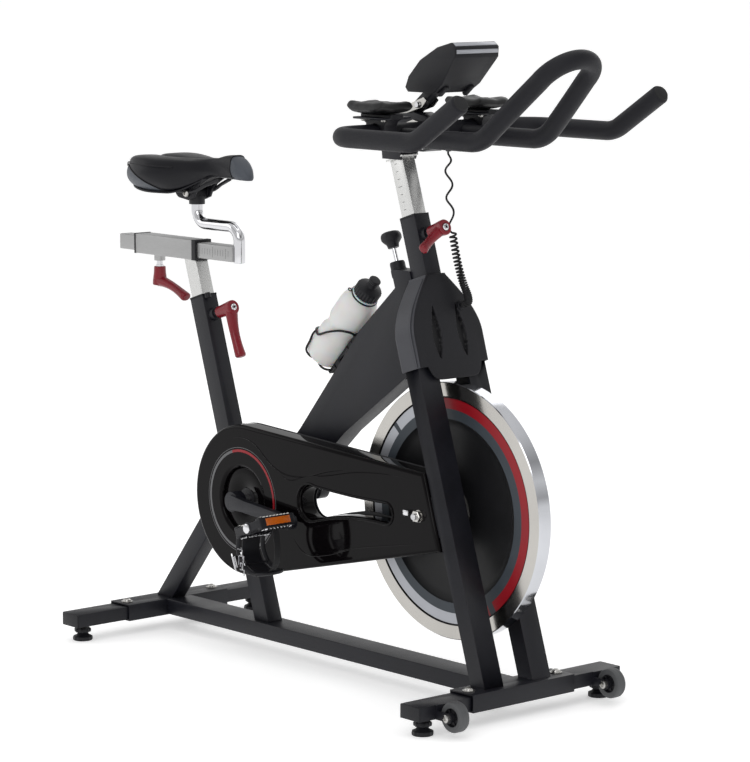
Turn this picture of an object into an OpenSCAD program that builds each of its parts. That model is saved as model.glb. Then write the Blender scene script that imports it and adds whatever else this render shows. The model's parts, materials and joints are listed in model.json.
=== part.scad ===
// Indoor cycling bike. +X is forward, +Y is the rider's left, Z is up, the floor is z = 0.

/* [Base] */
// Distance between the front and rear stabilisers
foot_span = 990; // [900:5:1050]
// Half length of a stabiliser tube, over its end caps
foot_half = 244; // [220:1:260]
// Width and height of the stabiliser tube
foot_w = 50; // [45:1:54]
// Height of the stabiliser tube
foot_h = 25; // [20:1:26]
// Half length of the welded sleeve that holds a stabiliser
sleeve_half = 123; // [110:1:140]
// Width of the sleeves and of the main beam
beam_w = 60; // [56:1:66]
// Height of the top of the beam above the floor
beam_top = 60; // [58:1:64]

/* [Frame] */
// Backward lean of the seat tube, fork and head tube, in degrees
lean = 17.75; // [16:0.25:19]
// Depth of the seat tube and head tube, front to back
tube_d = 40; // [38:1:44]
// Width of the seat tube and head tube, side to side
tube_w = 35; // [34:1:38]
// Wall thickness of the steel tubes
wall = 2.5; // [2:0.1:3]
// Height of the top of the seat tube
seat_tube_top = 667; // [640:1:690]
// Height of the top of the head tube
head_top = 864; // [840:1:880]

/* [Flywheel] */
// Radius of the flywheel
wheel_r = 232; // [225:1:234]
// Height of the flywheel's axle above the floor
wheel_z = 346; // [340:1:352]
// Thickness of the flywheel rim
wheel_t = 30; // [24:1:32]

/* [Drive] */
// Height of the crank axle above the floor
crank_z = 307; // [300:1:312]
// Length of a crank arm between its two axes
crank_len = 170; // [160:1:172]
// Pitch radius of the large pulley
big_r = 105; // [95:1:110]
// Pitch radius of the small pulley
small_r = 28; // [24:1:32]
// Radius of the round rear end of the belt guard
guard_r = 143; // [138:1:146]

/* [Seat] */
// Height of the middle of the sliding tube under the saddle
slider_z = 758; // [750:1:765]
// Length of the saddle
saddle_len = 319; // [280:1:320]
// Width of the saddle
saddle_w = 170; // [150:1:200]

/* [Handlebar] */
// Diameter of the coated handlebar tube
bar_d = 34; // [30:1:36]
// Half distance between the two outer horns
horn_y = 237; // [220:1:250]
// Height of the middle of the cross bar
bar_z = 1020; // [1015:1:1030]

/* [Hidden] */
$fn = 64;

// Places
rear_x = -514;
front_x = rear_x + foot_span;
foot_z = 30.5;                       // underside of a stabiliser tube
pad_y = 214;                         // levelling feet
bolt_y = 106;                        // stabiliser bolts
run_gap = 0.05;                      // radial play of a shaft in a bore
slip = 0.3;                          // gap round a part that only slides past
fork_base_x = 471;                   // fork centre line where it meets the beam top
seat_base_x = -204;                  // seat tube centre line where it meets the beam top
axle_x = 324;
crank_x = -174;
leg_in = 35;
leg_out = 80;
leg_d = 35;
bar_x = 255;
bar_r = bar_d/2;
post_d = 34;
post_w = 29;
wheel_hub_x = 533;
wheel_hub_z = 38;
wheel_hub_y = 190;
knob_pos = [153, 0, 818];            // middle of the brake knob
brake_len = norm([axle_x - knob_pos[0], wheel_z - knob_pos[2]]);
pad_gap = 6.5;                       // from the brake pad to the rim when the brake is off
brake_tilt = atan2(axle_x - knob_pos[0], knob_pos[2] - wheel_z);
pad_z = brake_len - wheel_r;         // where the rim is along the brake's axis
clamp_pos = [-416, 0, 868];          // saddle tilt axis
belt_y = -62;
pedal_y = 168;                       // middle of a pedal's tread
crank_tilt = 5;                      // right arm points forward and this much down
pedal_tilt = 22;
bottle_tilt = 44;                    // bottle axis away from the vertical
bottle_foot = [-38, 0, 590];         // middle of the bottle's base
bottle_h = 176;

// The curly cord: loose waves under the stem, then close turns down to the shroud.
cord_d = 12;
cord_top = [284, 18, 984];
cord_end = [296, 40, 710];
cord_route = [cord_top, [284, 18, 960], [285, 19, 925], [286, 20, 890], [287, 24, 850], [289, 29, 815],
    [292, 34, 785], [297, 38, 760], [304, 40, 742], [311, 41, 728], [313, 41, 718], [307, 40, 713], cord_end];

module at_fork() { translate([fork_base_x, 0, beam_top]) rotate([0, -lean, 0]) children(); }
module at_seat() { translate([seat_base_x, 0, beam_top]) rotate([0, -lean, 0]) children(); }
function along(z) = (z - beam_top)/cos(lean);
function fork_x(z) = fork_base_x - (z - beam_top)*tan(lean);
function seat_x(z) = seat_base_x - (z - beam_top)*tan(lean);

module tube_z(d, w, len, t) {
    difference() {
        translate([-d/2, -w/2, 0]) cube([d, w, len]);
        translate([-d/2 + t, -w/2 + t, -1]) cube([d - 2*t, w - 2*t, len + 2]);
    }
}
module below(z) { translate([-1000, -500, z - 400]) cube([2000, 1000, 400]); }
module ycyl(r, y0, y1) { translate([0, y0, 0]) rotate([-90, 0, 0]) cylinder(r = r, h = y1 - y0); }
module yring(ro, ri, y0, y1) {
    difference() { ycyl(ro, y0, y1); ycyl(ri, y0 - 1, y1 + 1); }
}
module plate_y(points, y0, y1) {
    translate([0, y1, 0]) rotate([90, 0, 0]) linear_extrude(y1 - y0) polygon(points);
}
function arc(cx, cz, r, a0, a1, n) =
    [for (i = [0:n]) let (a = a0 + (a1 - a0)*i/n) [cx + r*cos(a), cz + r*sin(a)]];

// ---- Base
module main_beam() {
    color("#1b1b1d") difference() {
        translate([rear_x + beam_w/2, -beam_w/2, 30]) cube([foot_span - beam_w, beam_w, beam_top - 30]);
        translate([rear_x, -beam_w/2 + wall, 30 + wall])
            cube([foot_span, beam_w - 2*wall, beam_top - 30 - 2*wall]);
    }
}
module foot_sleeves() {
    color("#1b1b1d") for (x = [rear_x, front_x]) difference() {
        translate([x - beam_w/2, -sleeve_half, 28]) cube([beam_w, 2*sleeve_half, beam_top - 28]);
        translate([x - beam_w/2 + wall, -sleeve_half - 1, foot_z])
            cube([beam_w - 2*wall, 2*sleeve_half + 2, beam_top - foot_z - wall]);
        for (y = [-bolt_y, bolt_y]) translate([x, y, 50]) cylinder(r = 4.2, h = 20);
    }
}
module foot_tubes() {
    color("#1b1b1d") for (x = [rear_x, front_x]) {
        difference() {
            translate([x - foot_w/2, 2 - foot_half, foot_z]) cube([foot_w, 2*foot_half - 4, foot_h]);
            translate([x - foot_w/2 + 2, -foot_half, foot_z + 2]) cube([foot_w - 4, 2*foot_half, foot_h - 4]);
            for (y = [-bolt_y, bolt_y]) translate([x, y, 45]) cylinder(r = 4.2, h = 20);
            for (y = [-pad_y, pad_y]) translate([x, y, 20]) cylinder(r = 5 + run_gap, h = 20);
        }
    }
    color("#1b1b1d") for (s = [-1, 1]) wheel_bracket(s);
}
module wheel_bracket(s) {
    reach = wheel_hub_x - front_x - foot_w/2;
    translate([front_x + foot_w/2, s*wheel_hub_y, 0]) difference() {
        union() {
            translate([0, -17, foot_z]) cube([3, 34, foot_h]);
            for (y = [-17, 13]) {
                translate([0, y, foot_z]) cube([reach, 4, 15]);
                translate([reach, y + 4, wheel_hub_z]) rotate([90, 0, 0]) cylinder(r = 9, h = 4);
            }
        }
        translate([reach, -30, wheel_hub_z]) rotate([-90, 0, 0]) cylinder(r = 4 + run_gap, h = 60);
    }
}
module foot_end_caps() {
    color("#232325") for (x = [rear_x, front_x], s = [-1, 1]) {
        translate([x - foot_w/2, s > 0 ? foot_half - 2 : -foot_half, foot_z]) cube([foot_w, 2, foot_h]);
        translate([x - foot_w/2 + 2, s > 0 ? foot_half - 14 : 2 - foot_half, foot_z + 2])
            cube([foot_w - 4, 12, foot_h - 4]);
    }
}
module foot_bolts() {
    color("silver") for (x = [rear_x, front_x], y = [-bolt_y, bolt_y]) translate([x, y, 0]) {
        translate([0, 0, 38]) cylinder(r = 4, h = beam_top - 38);
        translate([0, 0, beam_top]) cylinder(r = 10, h = 1.6);
        translate([0, 0, beam_top + 1.6]) cylinder(r = 7.5, h = 3);
        translate([0, 0, beam_top + 4.6]) cylinder(r1 = 7.5, r2 = 4, h = 2.6, $fn = 32);
    }
}
module levelling_foot(x, y) {
    color("#202022") translate([x, y, 0]) {
        cylinder(r1 = 18.5, r2 = 19.5, h = 3);
        translate([0, 0, 3]) cylinder(r = 19.5, h = 3);
        translate([0, 0, 6]) cylinder(r1 = 19.5, r2 = 12, h = 4);
        translate([0, 0, 10]) cylinder(r = 12, h = 5);
        translate([0, 0, 15]) cylinder(r = 15, h = 9, $fn = 12);
        translate([0, 0, 24]) cylinder(r = 5, h = 20);
    }
}
module levelling_foot_rear_right() { levelling_foot(rear_x, -pad_y); }
module levelling_foot_rear_left() { levelling_foot(rear_x, pad_y); }
module levelling_foot_front_right() { levelling_foot(front_x, -pad_y); }
module levelling_foot_front_left() { levelling_foot(front_x, pad_y); }

module wheel_axles() {
    color("silver") for (s = [-1, 1]) translate([wheel_hub_x, s*wheel_hub_y, wheel_hub_z]) {
        ycyl(4, -17, 17);
        ycyl(7, -21, -17);
        ycyl(6.5, 17, 22);
    }
}
module transport_wheel(s) {
    translate([wheel_hub_x, s*wheel_hub_y, wheel_hub_z]) {
        color("#3a3a3c") difference() {
            union() { yring(27, 14, -10, 10); ycyl(14.5, -7, 7); ycyl(8, -12, 12); }
            ycyl(4 + run_gap, -20, 20);
        }
    }
}
module transport_wheel_right() { transport_wheel(-1); }
module transport_wheel_left() { transport_wheel(1); }

// ---- Welded frame
module lever_bore(s, r) { translate([0, 0, s]) rotate([0, 90, 0]) cylinder(r = r, h = 60); }
seat_lever_s = along(629);
head_lever_s = along(829);
module seat_tube() {
    color("#1b1b1d") difference() {
        at_seat() difference() {
            union() {
                translate([0, 0, -30]) tube_z(tube_d, tube_w, along(seat_tube_top) + 30, wall);
                difference() {
                    translate([tube_d/2, 0, seat_lever_s]) rotate([0, 90, 0]) cylinder(r = 13, h = 12);
                    lever_bore(seat_lever_s, 4);
                }
            }
            lever_bore(seat_lever_s, 4 + run_gap);
        }
        below(beam_top);
    }
}
strut_lean = 39;
module rear_strut() {
    color("#1b1b1d") difference() {
        translate([-509, 0, beam_top]) rotate([0, strut_lean, 0]) translate([0, 0, -30])
            tube_z(38, tube_w - 1, 430, wall);
        below(beam_top);
        at_seat() translate([-tube_d/2, -50, -50]) cube([400, 100, 700]);
    }
}
module head_tube() {
    crown = along(632);
    color("#1b1b1d") at_fork() difference() {
        union() {
            translate([0, 0, crown + 38]) tube_z(tube_d, tube_w, along(head_top) - crown - 38, wall);
            difference() {
                translate([-tube_d/2, -leg_out, crown]) cube([tube_d, 2*leg_out, 38]);
                translate([-tube_d/2 + wall, -leg_out + wall, crown + wall])
                    cube([tube_d - 2*wall, 2*(leg_out - wall), 38 - 2*wall]);
                translate([-tube_d/2 + wall, -tube_w/2 + wall, crown - 1])
                    cube([tube_d - 2*wall, tube_w - 2*wall, 40]);
            }
            translate([tube_d/2, 0, head_lever_s]) rotate([0, 90, 0]) cylinder(r = 13, h = 10);
        }
        translate([0, 0, head_lever_s]) rotate([0, 90, 0]) cylinder(r = 4 + run_gap, h = 60);
    }
}
module fork_legs() {
    leg_len = along(632);
    color("#1b1b1d") for (s = [-1, 1]) difference() {
        union() {
            at_fork() translate([0, s*(leg_in + leg_out)/2, -30])
                tube_z(leg_d, leg_out - leg_in, leg_len + 30, wall);
            axle_plate(s);
        }
        below(beam_top);
        translate([axle_x, 0, wheel_z]) ycyl(6 + run_gap, -200, 200);
    }
}
module axle_plate(s) {
    y0 = s > 0 ? leg_out - 6 : -leg_out;
    difference() {
        plate_y([[axle_x - 30, wheel_z - 30], [axle_x + 80, wheel_z - 34], [axle_x + 60, wheel_z + 40],
            [axle_x - 30, wheel_z + 30]], y0, y0 + 6);
        at_fork() translate([-leg_d/2, -500, 0]) cube([500, 1000, 800]);
    }
}
// The deep down tube: a box with a straight upper edge in two stretches.
tube_outline = [[229, 768], [173, 768], [184, 735], [88, 650], [-83, 448], [-186, 342],
    [-262, 318], [-246, 268], [-172, 262], [-136, 292], [46, 456], [160, 538], [262, 610], [268, 640]];
tube_cavity = [[222, 764], [177, 764], [189, 735], [91, 648], [-80, 446], [-150, 370],
    [-133, 298], [44, 459], [158, 541], [258, 612], [262, 636]];
shell_r = 24;
module down_tube() {
    color("#1b1b1d") difference() {
        union() {
            plate_y(tube_outline, -20, 20);
            translate([crank_x, 0, crank_z]) ycyl(shell_r, -34, 34);
        }
        at_brake() translate([-34, -15.5, pad_z - 48]) cube([68, 31, 70]);
        plate_y(tube_cavity, -20 + wall, 20 - wall);
        at_fork() translate([-tube_d/2, -60, 0]) cube([400, 120, 900]);
        at_seat() translate([-400, -60, 0]) cube([400 + tube_d/2, 120, 900]);
        translate([crank_x, 0, crank_z]) ycyl(19, -40, 40);
        at_brake() cylinder(r = 6.1, h = 400);
    }
}
// Brake axis: local -Z runs from the knob to the rim.
module at_brake() { translate(knob_pos) rotate([0, 180 - brake_tilt, 0]) children(); }

// ---- Head shroud: flares from the head tube to the two fork legs.
function flare(n) = [for (i = [0:n]) [22.5 + 62*sin(90*i/n), along(755) - 110*i/n]];
module head_shroud() {
    half = concat(flare(10), [[84.5, along(602)]]);
    outline = concat(half, [for (i = [len(half) - 1:-1:0]) [-half[i][0], half[i][1]]]);
    color("#2b2b2e") difference() {
        at_fork() shroud_body(outline);
        at_cord_end() translate([0, 0, -30]) cylinder(r = 6, h = 40);
    }
}
shroud_slot = [[-1, 706], [1, 706], [5, 625], [-5, 625]];
module shroud_body(outline) {
    difference() {
        rotate([90, 0, 90]) translate([0, 0, -23]) linear_extrude(50) polygon(outline);
        translate([-tube_d/2 - slip, -tube_w/2 - slip, along(602)])
            cube([tube_d + 2*slip, tube_w + 2*slip, 200]);
        translate([-tube_d/2 - slip, -leg_out - slip, along(600)])
            cube([tube_d + 2*slip, 2*(leg_out + slip), along(632) + 38 + slip - along(600)]);
        translate([-30, -26, along(560)]) cube([26, 52, 260]);
        for (y = [-28, 28]) rotate([90, 0, 90]) translate([0, 0, 19.5])
            linear_extrude(20) polygon([for (e = shroud_slot) [y + e[0], along(e[1])]]);
    }
}
module at_cord_end() { translate(cord_end) rotate([0, 90 - lean, 0]) children(); }
module cord_socket() {
    color("#161617") at_cord_end() {
        translate([0, 0, -10]) cylinder(r = 5.9, h = 7);
        translate([0, 0, -4]) cylinder(r = 8, h = 4);
    }
}

// ---- Cord
function unit(v) = v/norm(v);
function spline(p, i, t) =
    let (a = p[max(i - 1, 0)], b = p[i], c = p[i + 1], d = p[min(i + 2, len(p) - 1)])
    0.5*((2*b) + (c - a)*t + (2*a - 5*b + 4*c - d)*t*t + (3*b - a - 3*c + d)*t*t*t);
cord_path = [for (i = [0:len(cord_route) - 2], j = [0:1]) spline(cord_route, i, j/2), cord_end];
module swept(path, r, sides) {
    n = len(path);
    rings = [for (i = [0:n - 1]) let (
        d = unit(path[min(i + 1, n - 1)] - path[max(i - 1, 0)]),
        u = unit(cross(d, [1, 0, 0])), v = cross(d, u))
        for (k = [0:sides - 1]) path[i] + r*(cos(360*k/sides)*u + sin(360*k/sides)*v)];
    walls = [for (i = [0:n - 2], k = [0:sides - 1]) let (m = (k + 1)%sides)
        [i*sides + k, i*sides + m, (i + 1)*sides + m, (i + 1)*sides + k]];
    polyhedron(points = rings, faces = concat(walls,
        [[for (k = [sides - 1:-1:0]) k], [for (k = [0:sides - 1]) (n - 1)*sides + k]]));
}
module swept_level(path, r, sides) {
    n = len(path);
    rings = [for (i = [0:n - 1]) let (
        d = unit(path[min(i + 1, n - 1)] - path[max(i - 1, 0)]),
        up = unit([-sin(loop_rise), 0, cos(loop_rise)] + (i < 3 || i > n - 4 ? [0.4, 0, 1] : [0, 0, 0])),
        u = unit(cross(d, up)), v = cross(d, u))
        for (k = [0:sides - 1]) path[i] + r*(cos(360*k/sides)*u + sin(360*k/sides)*v)];
    walls = [for (i = [0:n - 2], k = [0:sides - 1]) let (m = (k + 1)%sides)
        [i*sides + k, i*sides + m, (i + 1)*sides + m, (i + 1)*sides + k]];
    polyhedron(points = rings, faces = concat(walls,
        [[for (k = [sides - 1:-1:0]) k], [for (k = [0:sides - 1]) (n - 1)*sides + k]]));
}
module curly_cord() { color("#111112") swept(cord_path, cord_d/2, 12); }
module cord_plug() {
    color("#161617") translate(cord_top) {
        translate([0, 0, slip]) cylinder(r = 5, h = 5.9);
        translate([0, 0, 5.5]) cylinder(r = 3.9, h = 10.5);
    }
}

// ---- Belt drive
module guard_profile_2d(inset) {
    r0 = guard_r - inset;
    r1 = 68 - inset;
    d = [axle_x - 14 - crank_x, wheel_z + 12 - crank_z];
    b = atan2(d[1], d[0]);
    g = acos((r0 - r1)/norm(d));
    foot = [axle_x + 54 - inset, wheel_z - 58 + inset];
    head = [axle_x + 11 - inset, wheel_z + 78 - inset];
    polygon(concat(arc(crank_x, crank_z, r0, b + g, b + 360 - g, 40), [foot, head]));
}
module keyhole(grow) {
    lower = [[94, 316 - grow], [132, 324 - grow], [170, 326 - grow]];
    upper = [[170, 350 + grow], [132, 352 + grow], [94, 356 + grow]];
    round_end = arc(234, 338, 17 + grow, -90, 90, 12);
    polygon(concat(arc(24, 329, 31 + grow, 60, 300, 24), lower, round_end, upper));
}
module guard_y(y0, y1) { translate([0, y1, 0]) rotate([90, 0, 0]) linear_extrude(y1 - y0) children(); }
// Everything from just behind the fork legs forward
module before_legs() { at_fork() translate([-leg_d/2 - 0.5, -200, 0]) cube([300, 400, 800]); }
module guard_outer() {
    color("#101012") difference() {
        guard_y(-88, -46) guard_profile_2d(0);
        difference() {
            guard_y(-85.5, -40) guard_profile_2d(2.5);
            guard_y(-100, -30) keyhole(2.5);
        }
        guard_y(-100, -30) keyhole(0);
        translate([crank_x, 0, crank_z]) ycyl(61, -95, -80);
        translate([axle_x, 0, wheel_z]) ycyl(13, -95, -80);
        translate([axle_x, 0, wheel_z]) plate_y([[16, 26], [28, 26], [25, 44]], -95, -80);
        before_legs();
        translate([axle_x, -81, wheel_z - 40]) cube([60, 8, 86]);
    }
}
module guard_inner() {
    color("#161618") difference() {
        guard_y(-45.7, -43.7) guard_profile_2d(0);
        guard_y(-60, -30) keyhole(0);
        translate([crank_x, 0, crank_z]) ycyl(38, -60, -30);
        translate([axle_x, 0, wheel_z]) ycyl(40, -60, -30);
        before_legs();
    }
}
module drive_belt() {
    d = [axle_x - crank_x, wheel_z - crank_z];
    b = atan2(d[1], d[0]);
    g = acos((big_r - small_r)/norm(d));
    function loop(o) = concat(arc(crank_x, crank_z, big_r + o, b + g, b + 360 - g, 72),
        arc(axle_x, wheel_z, small_r + o, b - g, b + g, 24));
    color("#1a1a1a") translate([0, belt_y + 8, 0]) rotate([90, 0, 0]) linear_extrude(16)
        difference() { polygon(loop(3.2)); polygon(loop(0.4)); }
}
module crank_pulley() {
    color("#222224") translate([crank_x, 0, crank_z]) difference() {
        union() { ycyl(big_r, belt_y - 10, belt_y + 10); ycyl(30, belt_y - 13, -36); }
        for (y = [belt_y - 11, belt_y + 4]) yring(big_r - 8, 34, y, y + 7);
        ycyl(10 + run_gap, -120, 0);
    }
}
module crank_bearings() {
    color("silver") translate([crank_x, 0, crank_z]) for (y = [-34, 22]) yring(19, 10.05, y, y + 12);
}
module crank_axle() {
    color("silver") translate([crank_x, 0, crank_z]) ycyl(10, -104, 104);
}
module at_crank(side) {
    translate([crank_x, 0, crank_z]) rotate([0, side < 0 ? crank_tilt : 180 + crank_tilt, 0]) children();
}
module crank_arm(side) {
    y0 = side < 0 ? -118 : 104;
    at_crank(side) difference() {
        union() {
            ycyl(19, y0 + (side < 0 ? 4 : -12), y0 + (side < 0 ? 26 : 10));
            translate([crank_len, 0, 0]) ycyl(14, y0, y0 + 14);
            translate([0, y0 + 14, 0]) rotate([90, 0, 0]) linear_extrude(14)
                polygon([[0, 14], [40, 11], [crank_len, 10], [crank_len, -10], [40, -11], [0, -14]]);
        }
        ycyl(10, side < 0 ? -104 : 60, side < 0 ? -60 : 104);
        translate([crank_len, 0, 0]) ycyl(7 + run_gap, y0 - 5, y0 + 20);
    }
}
module crank_arms() { color("#3c3c40") for (s = [-1, 1]) crank_arm(s); }
module pedal(side) {
    in = side < 0 ? -pedal_y + 42 : pedal_y - 42;
    dir = side < 0 ? -1 : 1;
    at_crank(side) translate([crank_len, 0, 0]) {
        color("silver") ycyl(7, min(in + dir*6, in - dir*24), max(in + dir*6, in - dir*24));
        rotate([0, side < 0 ? -crank_tilt - pedal_tilt : 180 - crank_tilt - pedal_tilt, 0]) color("#1a1a1c") {
            ycyl(11, min(in, in + dir*86), max(in, in + dir*86));
            for (sx = [-1, 1]) translate([sx*36 - 7, min(in + dir*4, in + dir*84), -11]) cube([14, 80, 22]);
            for (o = [4, 74]) translate([-40, min(in + dir*o, in + dir*(o + 10)), -8]) cube([80, 10, 16]);
            translate([-20, min(in + dir*36, in + dir*50), -8]) cube([40, 14, 16]);
            toe_cage(min(in + dir*12, in + dir*76));
        }
    }
}
// Toe cage: hangs under the unweighted pedal, from its rear edge.
cage_side = [[-42, -6], [-47, -6], [-60, -34], [-52, -68], [-20, -84], [-20, -80], [-49, -65], [-55, -34]];
cage_tip = [[-17, -81], [-50, -64], [-57, -72], [-21, -90]];
cage_strap = [[-24, -88], [-27, -82], [10, -71], [27, -6], [33, -6], [14, -75]];
module toe_cage(y0) {
    for (y = [y0, y0 + 58]) plate_y(cage_side, y, y + 6);
    plate_y(cage_tip, y0 - 1, y0 + 65);
    plate_y(cage_strap, y0 + 26, y0 + 38);
}
module pedal_right() { pedal(-1); }
module pedal_left() { pedal(1); }

module flywheel() {
    color("silver") translate([axle_x, 0, wheel_z]) difference() {
        union() {
            yring(wheel_r, 184, -wheel_t/2, wheel_t/2);
            yring(185, 22, -11, 11);
            yring(46, 17, -24, 24);
        }
        for (y = [-12, 3]) yring(178, 50, y, y + 9);
        for (y = [-wheel_t/2 - 1, wheel_t/2 - 1.5]) yring(204.5, 203, y, y + 2.5);
        ycyl(17, -30, 30);
    }
}
module flywheel_bearings() {
    color("silver") translate([axle_x, 0, wheel_z]) for (y = [-24, 12]) yring(17, 6.05, y, y + 12);
}
module flywheel_pulley() {
    color("#77777a") translate([axle_x, 0, wheel_z]) difference() {
        union() { ycyl(small_r, belt_y - 9, belt_y + 9); ycyl(20, -54, -24.1); }
        ycyl(6 + run_gap, -100, 0);
    }
}
module flywheel_axle() { color("silver") translate([axle_x, 0, wheel_z]) ycyl(6, -98, 98); }
module axle_nuts() {
    color("silver") translate([axle_x, 0, wheel_z]) for (s = [-1, 1]) {
        y = s < 0 ? -96 : 80.1;
        difference() { ycyl(11, y + (s < 0 ? 8 : 0), y + (s < 0 ? 15.9 : 6)); ycyl(6.05, -120, 120); }
        difference() { ycyl(9, y, y + 7.9); ycyl(6.05, -120, 120); }
    }
}

// ---- Seat
module seat_post() {
    color("silver") difference() {
        at_seat() translate([0, 0, along(480)]) tube_z(post_d, post_w, along(800) - along(480), 2);
        translate([-700, -50, slider_z - 19]) cube([500, 100, 200]);
        translate([sleeve_x1 - slip, -50, slider_z - 20 - slip]) cube([100, 100, 200]);
    }
}
sleeve_x0 = -590;
sleeve_x1 = -410;
module slider_sleeve() {
    color("silver") difference() {
        union() {
            translate([sleeve_x0, -19, slider_z - 19]) cube([sleeve_x1 - sleeve_x0, 38, 38]);
            translate([slider_lever_x, 0, slider_z - 31]) cylinder(r = 11, h = 14);
        }
        translate([sleeve_x0 - 1, -17, slider_z - 17]) cube([sleeve_x1 - sleeve_x0 + 2, 34, 34]);
        translate([slider_lever_x, 0, slider_z - 60]) cylinder(r = 4 + run_gap, h = 60);
    }
}
slider_lever_x = -536;
module slider_bushings() {
    color("#151516") for (e = [[sleeve_x0 - 3, sleeve_x0, 20], [sleeve_x1, sleeve_x1 + 12, 0]]) {
        difference() {
            union() {
                translate([e[0], -20, slider_z - 20]) cube([e[1] - e[0], 40, 40]);
                translate([e[2] > 0 ? e[1] : e[0] - 20, -17, slider_z - 17]) cube([20, 34, 34]);
            }
            translate([e[0] - 30, -15 - slip/2, slider_z - 15 - slip/2]) cube([80, 30 + slip, 30 + slip]);
        }
    }
}
slider_rear = -648;
post_x = -286;
s_r = 11.1;
module bend(cx, cz, r, a0, a1) {
    translate([cx, 0, cz]) rotate([90, 0, 0]) rotate([0, 0, a0])
        rotate_extrude(angle = a1 - a0) translate([r, 0]) circle(r = s_r, $fn = 32);
}
module slider_post() {
    color("silver") {
        difference() {
            translate([slider_rear + 3, -15, slider_z - 15]) cube([post_x - 4 - slider_rear - 3, 30, 30]);
            translate([slider_rear, -13, slider_z - 13]) cube([post_x - 20 - slider_rear, 26, 26]);
        }
        translate([post_x, 0, slider_z - 17]) cylinder(r = s_r, h = 40);
        bend(post_x - 28, slider_z + 23, 28, 0, 90);
        translate([-388, 0, slider_z + 51]) rotate([0, 90, 0]) cylinder(r = s_r, h = post_x - 28 + 388);
        bend(-388, slider_z + 79, 28, 180, 270);
        translate([-416, 0, slider_z + 79]) cylinder(r = s_r, h = 20);
    }
    color("#202022") translate([slider_rear, -15, slider_z - 15]) cube([3, 30, 30]);
}
module saddle_clamp() {
    color("#141415") translate(clamp_pos) {
        difference() {
            union() {
                translate([0, 0, -22]) cylinder(r = 15.5, h = 17);
                ycyl(12, -15.5, 15.5);
                translate([-13, -13, -12]) cube([26, 26, 12]);
            }
            translate([0, 0, -30]) cylinder(r = s_r + run_gap, h = 19);
            ycyl(4 + run_gap, -30, 30);
        }
    }
}
module saddle_base() {
    color("#131314") {
        translate(clamp_pos) difference() {
            union() {
                for (y = [-22, 16]) translate([0, y, 0]) {
                    ycyl(13, 0, 6);
                    translate([-40, 0, 6]) cube([74, 6, 17]);
                }
                translate([-58, -38, 14]) cube([100, 76, 10]);
            }
            translate([-30, -15.8, -20]) cube([60, 31.6, 34.2]);
        }
        translate(clamp_pos) { ycyl(4, -26, 26); ycyl(7, -27, -22); ycyl(7, 22, 27); }
        saddle_pan();
    }
}
saddle_rear = -573;
saddle_nose = saddle_rear + saddle_len;
// Half width of the saddle at a distance t (0 rear, 1 nose) along its length
function saddle_half(t) = 16 + (saddle_w/2 - 16)*(t < 0.25 ? sqrt(max(0, 1 - pow((0.25 - t)/0.27, 2)))
    : 0.5*(1 + cos(180*min(1, (t - 0.25)/0.52))));
function saddle_outline(k, n) = concat(
    [for (i = [0:n]) saddle_point(k, i/n, -1)],
    [for (i = [n:-1:0]) saddle_point(k, i/n, 1)]);
function saddle_point(k, t, s) =
    [saddle_rear + k + (saddle_len - 2*k)*t, s*(saddle_half(t) - k)*(t > 0.97 ? 0.6 : 1)];
module saddle_pan() {
    translate([0, 0, 892]) linear_extrude(9) polygon(saddle_outline(7, 28));
}
module saddle_cushion() {
    color("#1d1d1f") {
        hull() {
            translate([0, 0, 901]) linear_extrude(20) polygon(saddle_outline(2, 14));
            translate([0, 0, 921]) linear_extrude(14) polygon(saddle_outline(14, 14));
        }
    }
}

// ---- Locking levers: a chrome stud, a hub and a moulded arm. Local Z runs along the stud, outwards.
module lever(stud, hub0, hub1, len, turn, droop) {
    color("silver") { cylinder(r = 4, h = stud); translate([0, 0, stud]) cylinder(r = 4, h = hub0 - stud); }
    color("#8e1522") {
        translate([0, 0, hub0]) cylinder(r = 12.5, h = hub1 - hub0);
        rotate([0, 0, turn]) translate([0, 0, hub1 - 15]) rotate([0, -droop, 0]) hull() {
            cylinder(r = 9, h = 14, $fn = 32);
            translate([len, 0, 0]) cylinder(r = 7, h = 11, $fn = 32);
        }
    }
    color("silver") translate([0, 0, hub1]) cylinder(r = 7, h = 6, $fn = 6);
}
module slider_lever() {
    translate([slider_lever_x, 0, slider_z - 15.6]) rotate([180, 0, 0])
        lever(20, 27, 64, 86, 0, 12);
}
module seat_lever() {
    at_seat() translate([post_d/2 + 0.4, 0, seat_lever_s]) rotate([0, 90, 0]) lever(16, 22, 68, 95, 0, 0);
}
module head_lever() {
    at_fork() translate([post_d/2 + 0.4, 0, head_lever_s]) rotate([0, 90, 0]) lever(14, 18, 58, 74, -58, 0);
}

// ---- Handlebar
module handlebar_post() {
    color("silver") at_fork() translate([0, 0, along(700)])
        tube_z(post_d, post_w, along(992) - along(700), 2);
}
console_arm = [[190, 1042], [214, 1044], [290, 1100], [272, 1106]];
module handlebar_stem() {
    x0 = fork_x(992);
    color("#171718") difference() {
        union() {
            plate_y(concat([[x0 - 26, 1000], [x0 - 14, 1046], [bar_x - 20, 1052], [bar_x + 22, 1044]],
                [[bar_x + 36, 996], [bar_x + 6, 984], [x0 + 30, 984]],
                [[x0 + 22, 966], [x0 - 22, 966]]), -21, 21);
            translate([bar_x + 8, -34, 996]) cube([28, 68, 10]);
        }
        at_fork() translate([-post_d/2 - 0.05, -post_w/2 - 0.05, along(900)])
            cube([post_d + 0.1, post_w + 0.1, along(992.1) - along(900)]);
        translate([bar_x, 0, bar_z]) ycyl(bar_r, -60, 60);
        translate(cord_top) translate([0, 0, 6]) cylinder(r = 4, h = 10.2);
    }
    color("#171718") plate_y(console_arm, -12, 12);
}
module elbow(r, a) { rotate_extrude(angle = a) translate([r, 0]) circle(r = bar_r, $fn = 32); }
corner_r = 60;
horn_bend_x = 458;
horn_rise = 32;
tip_len = 110;
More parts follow.
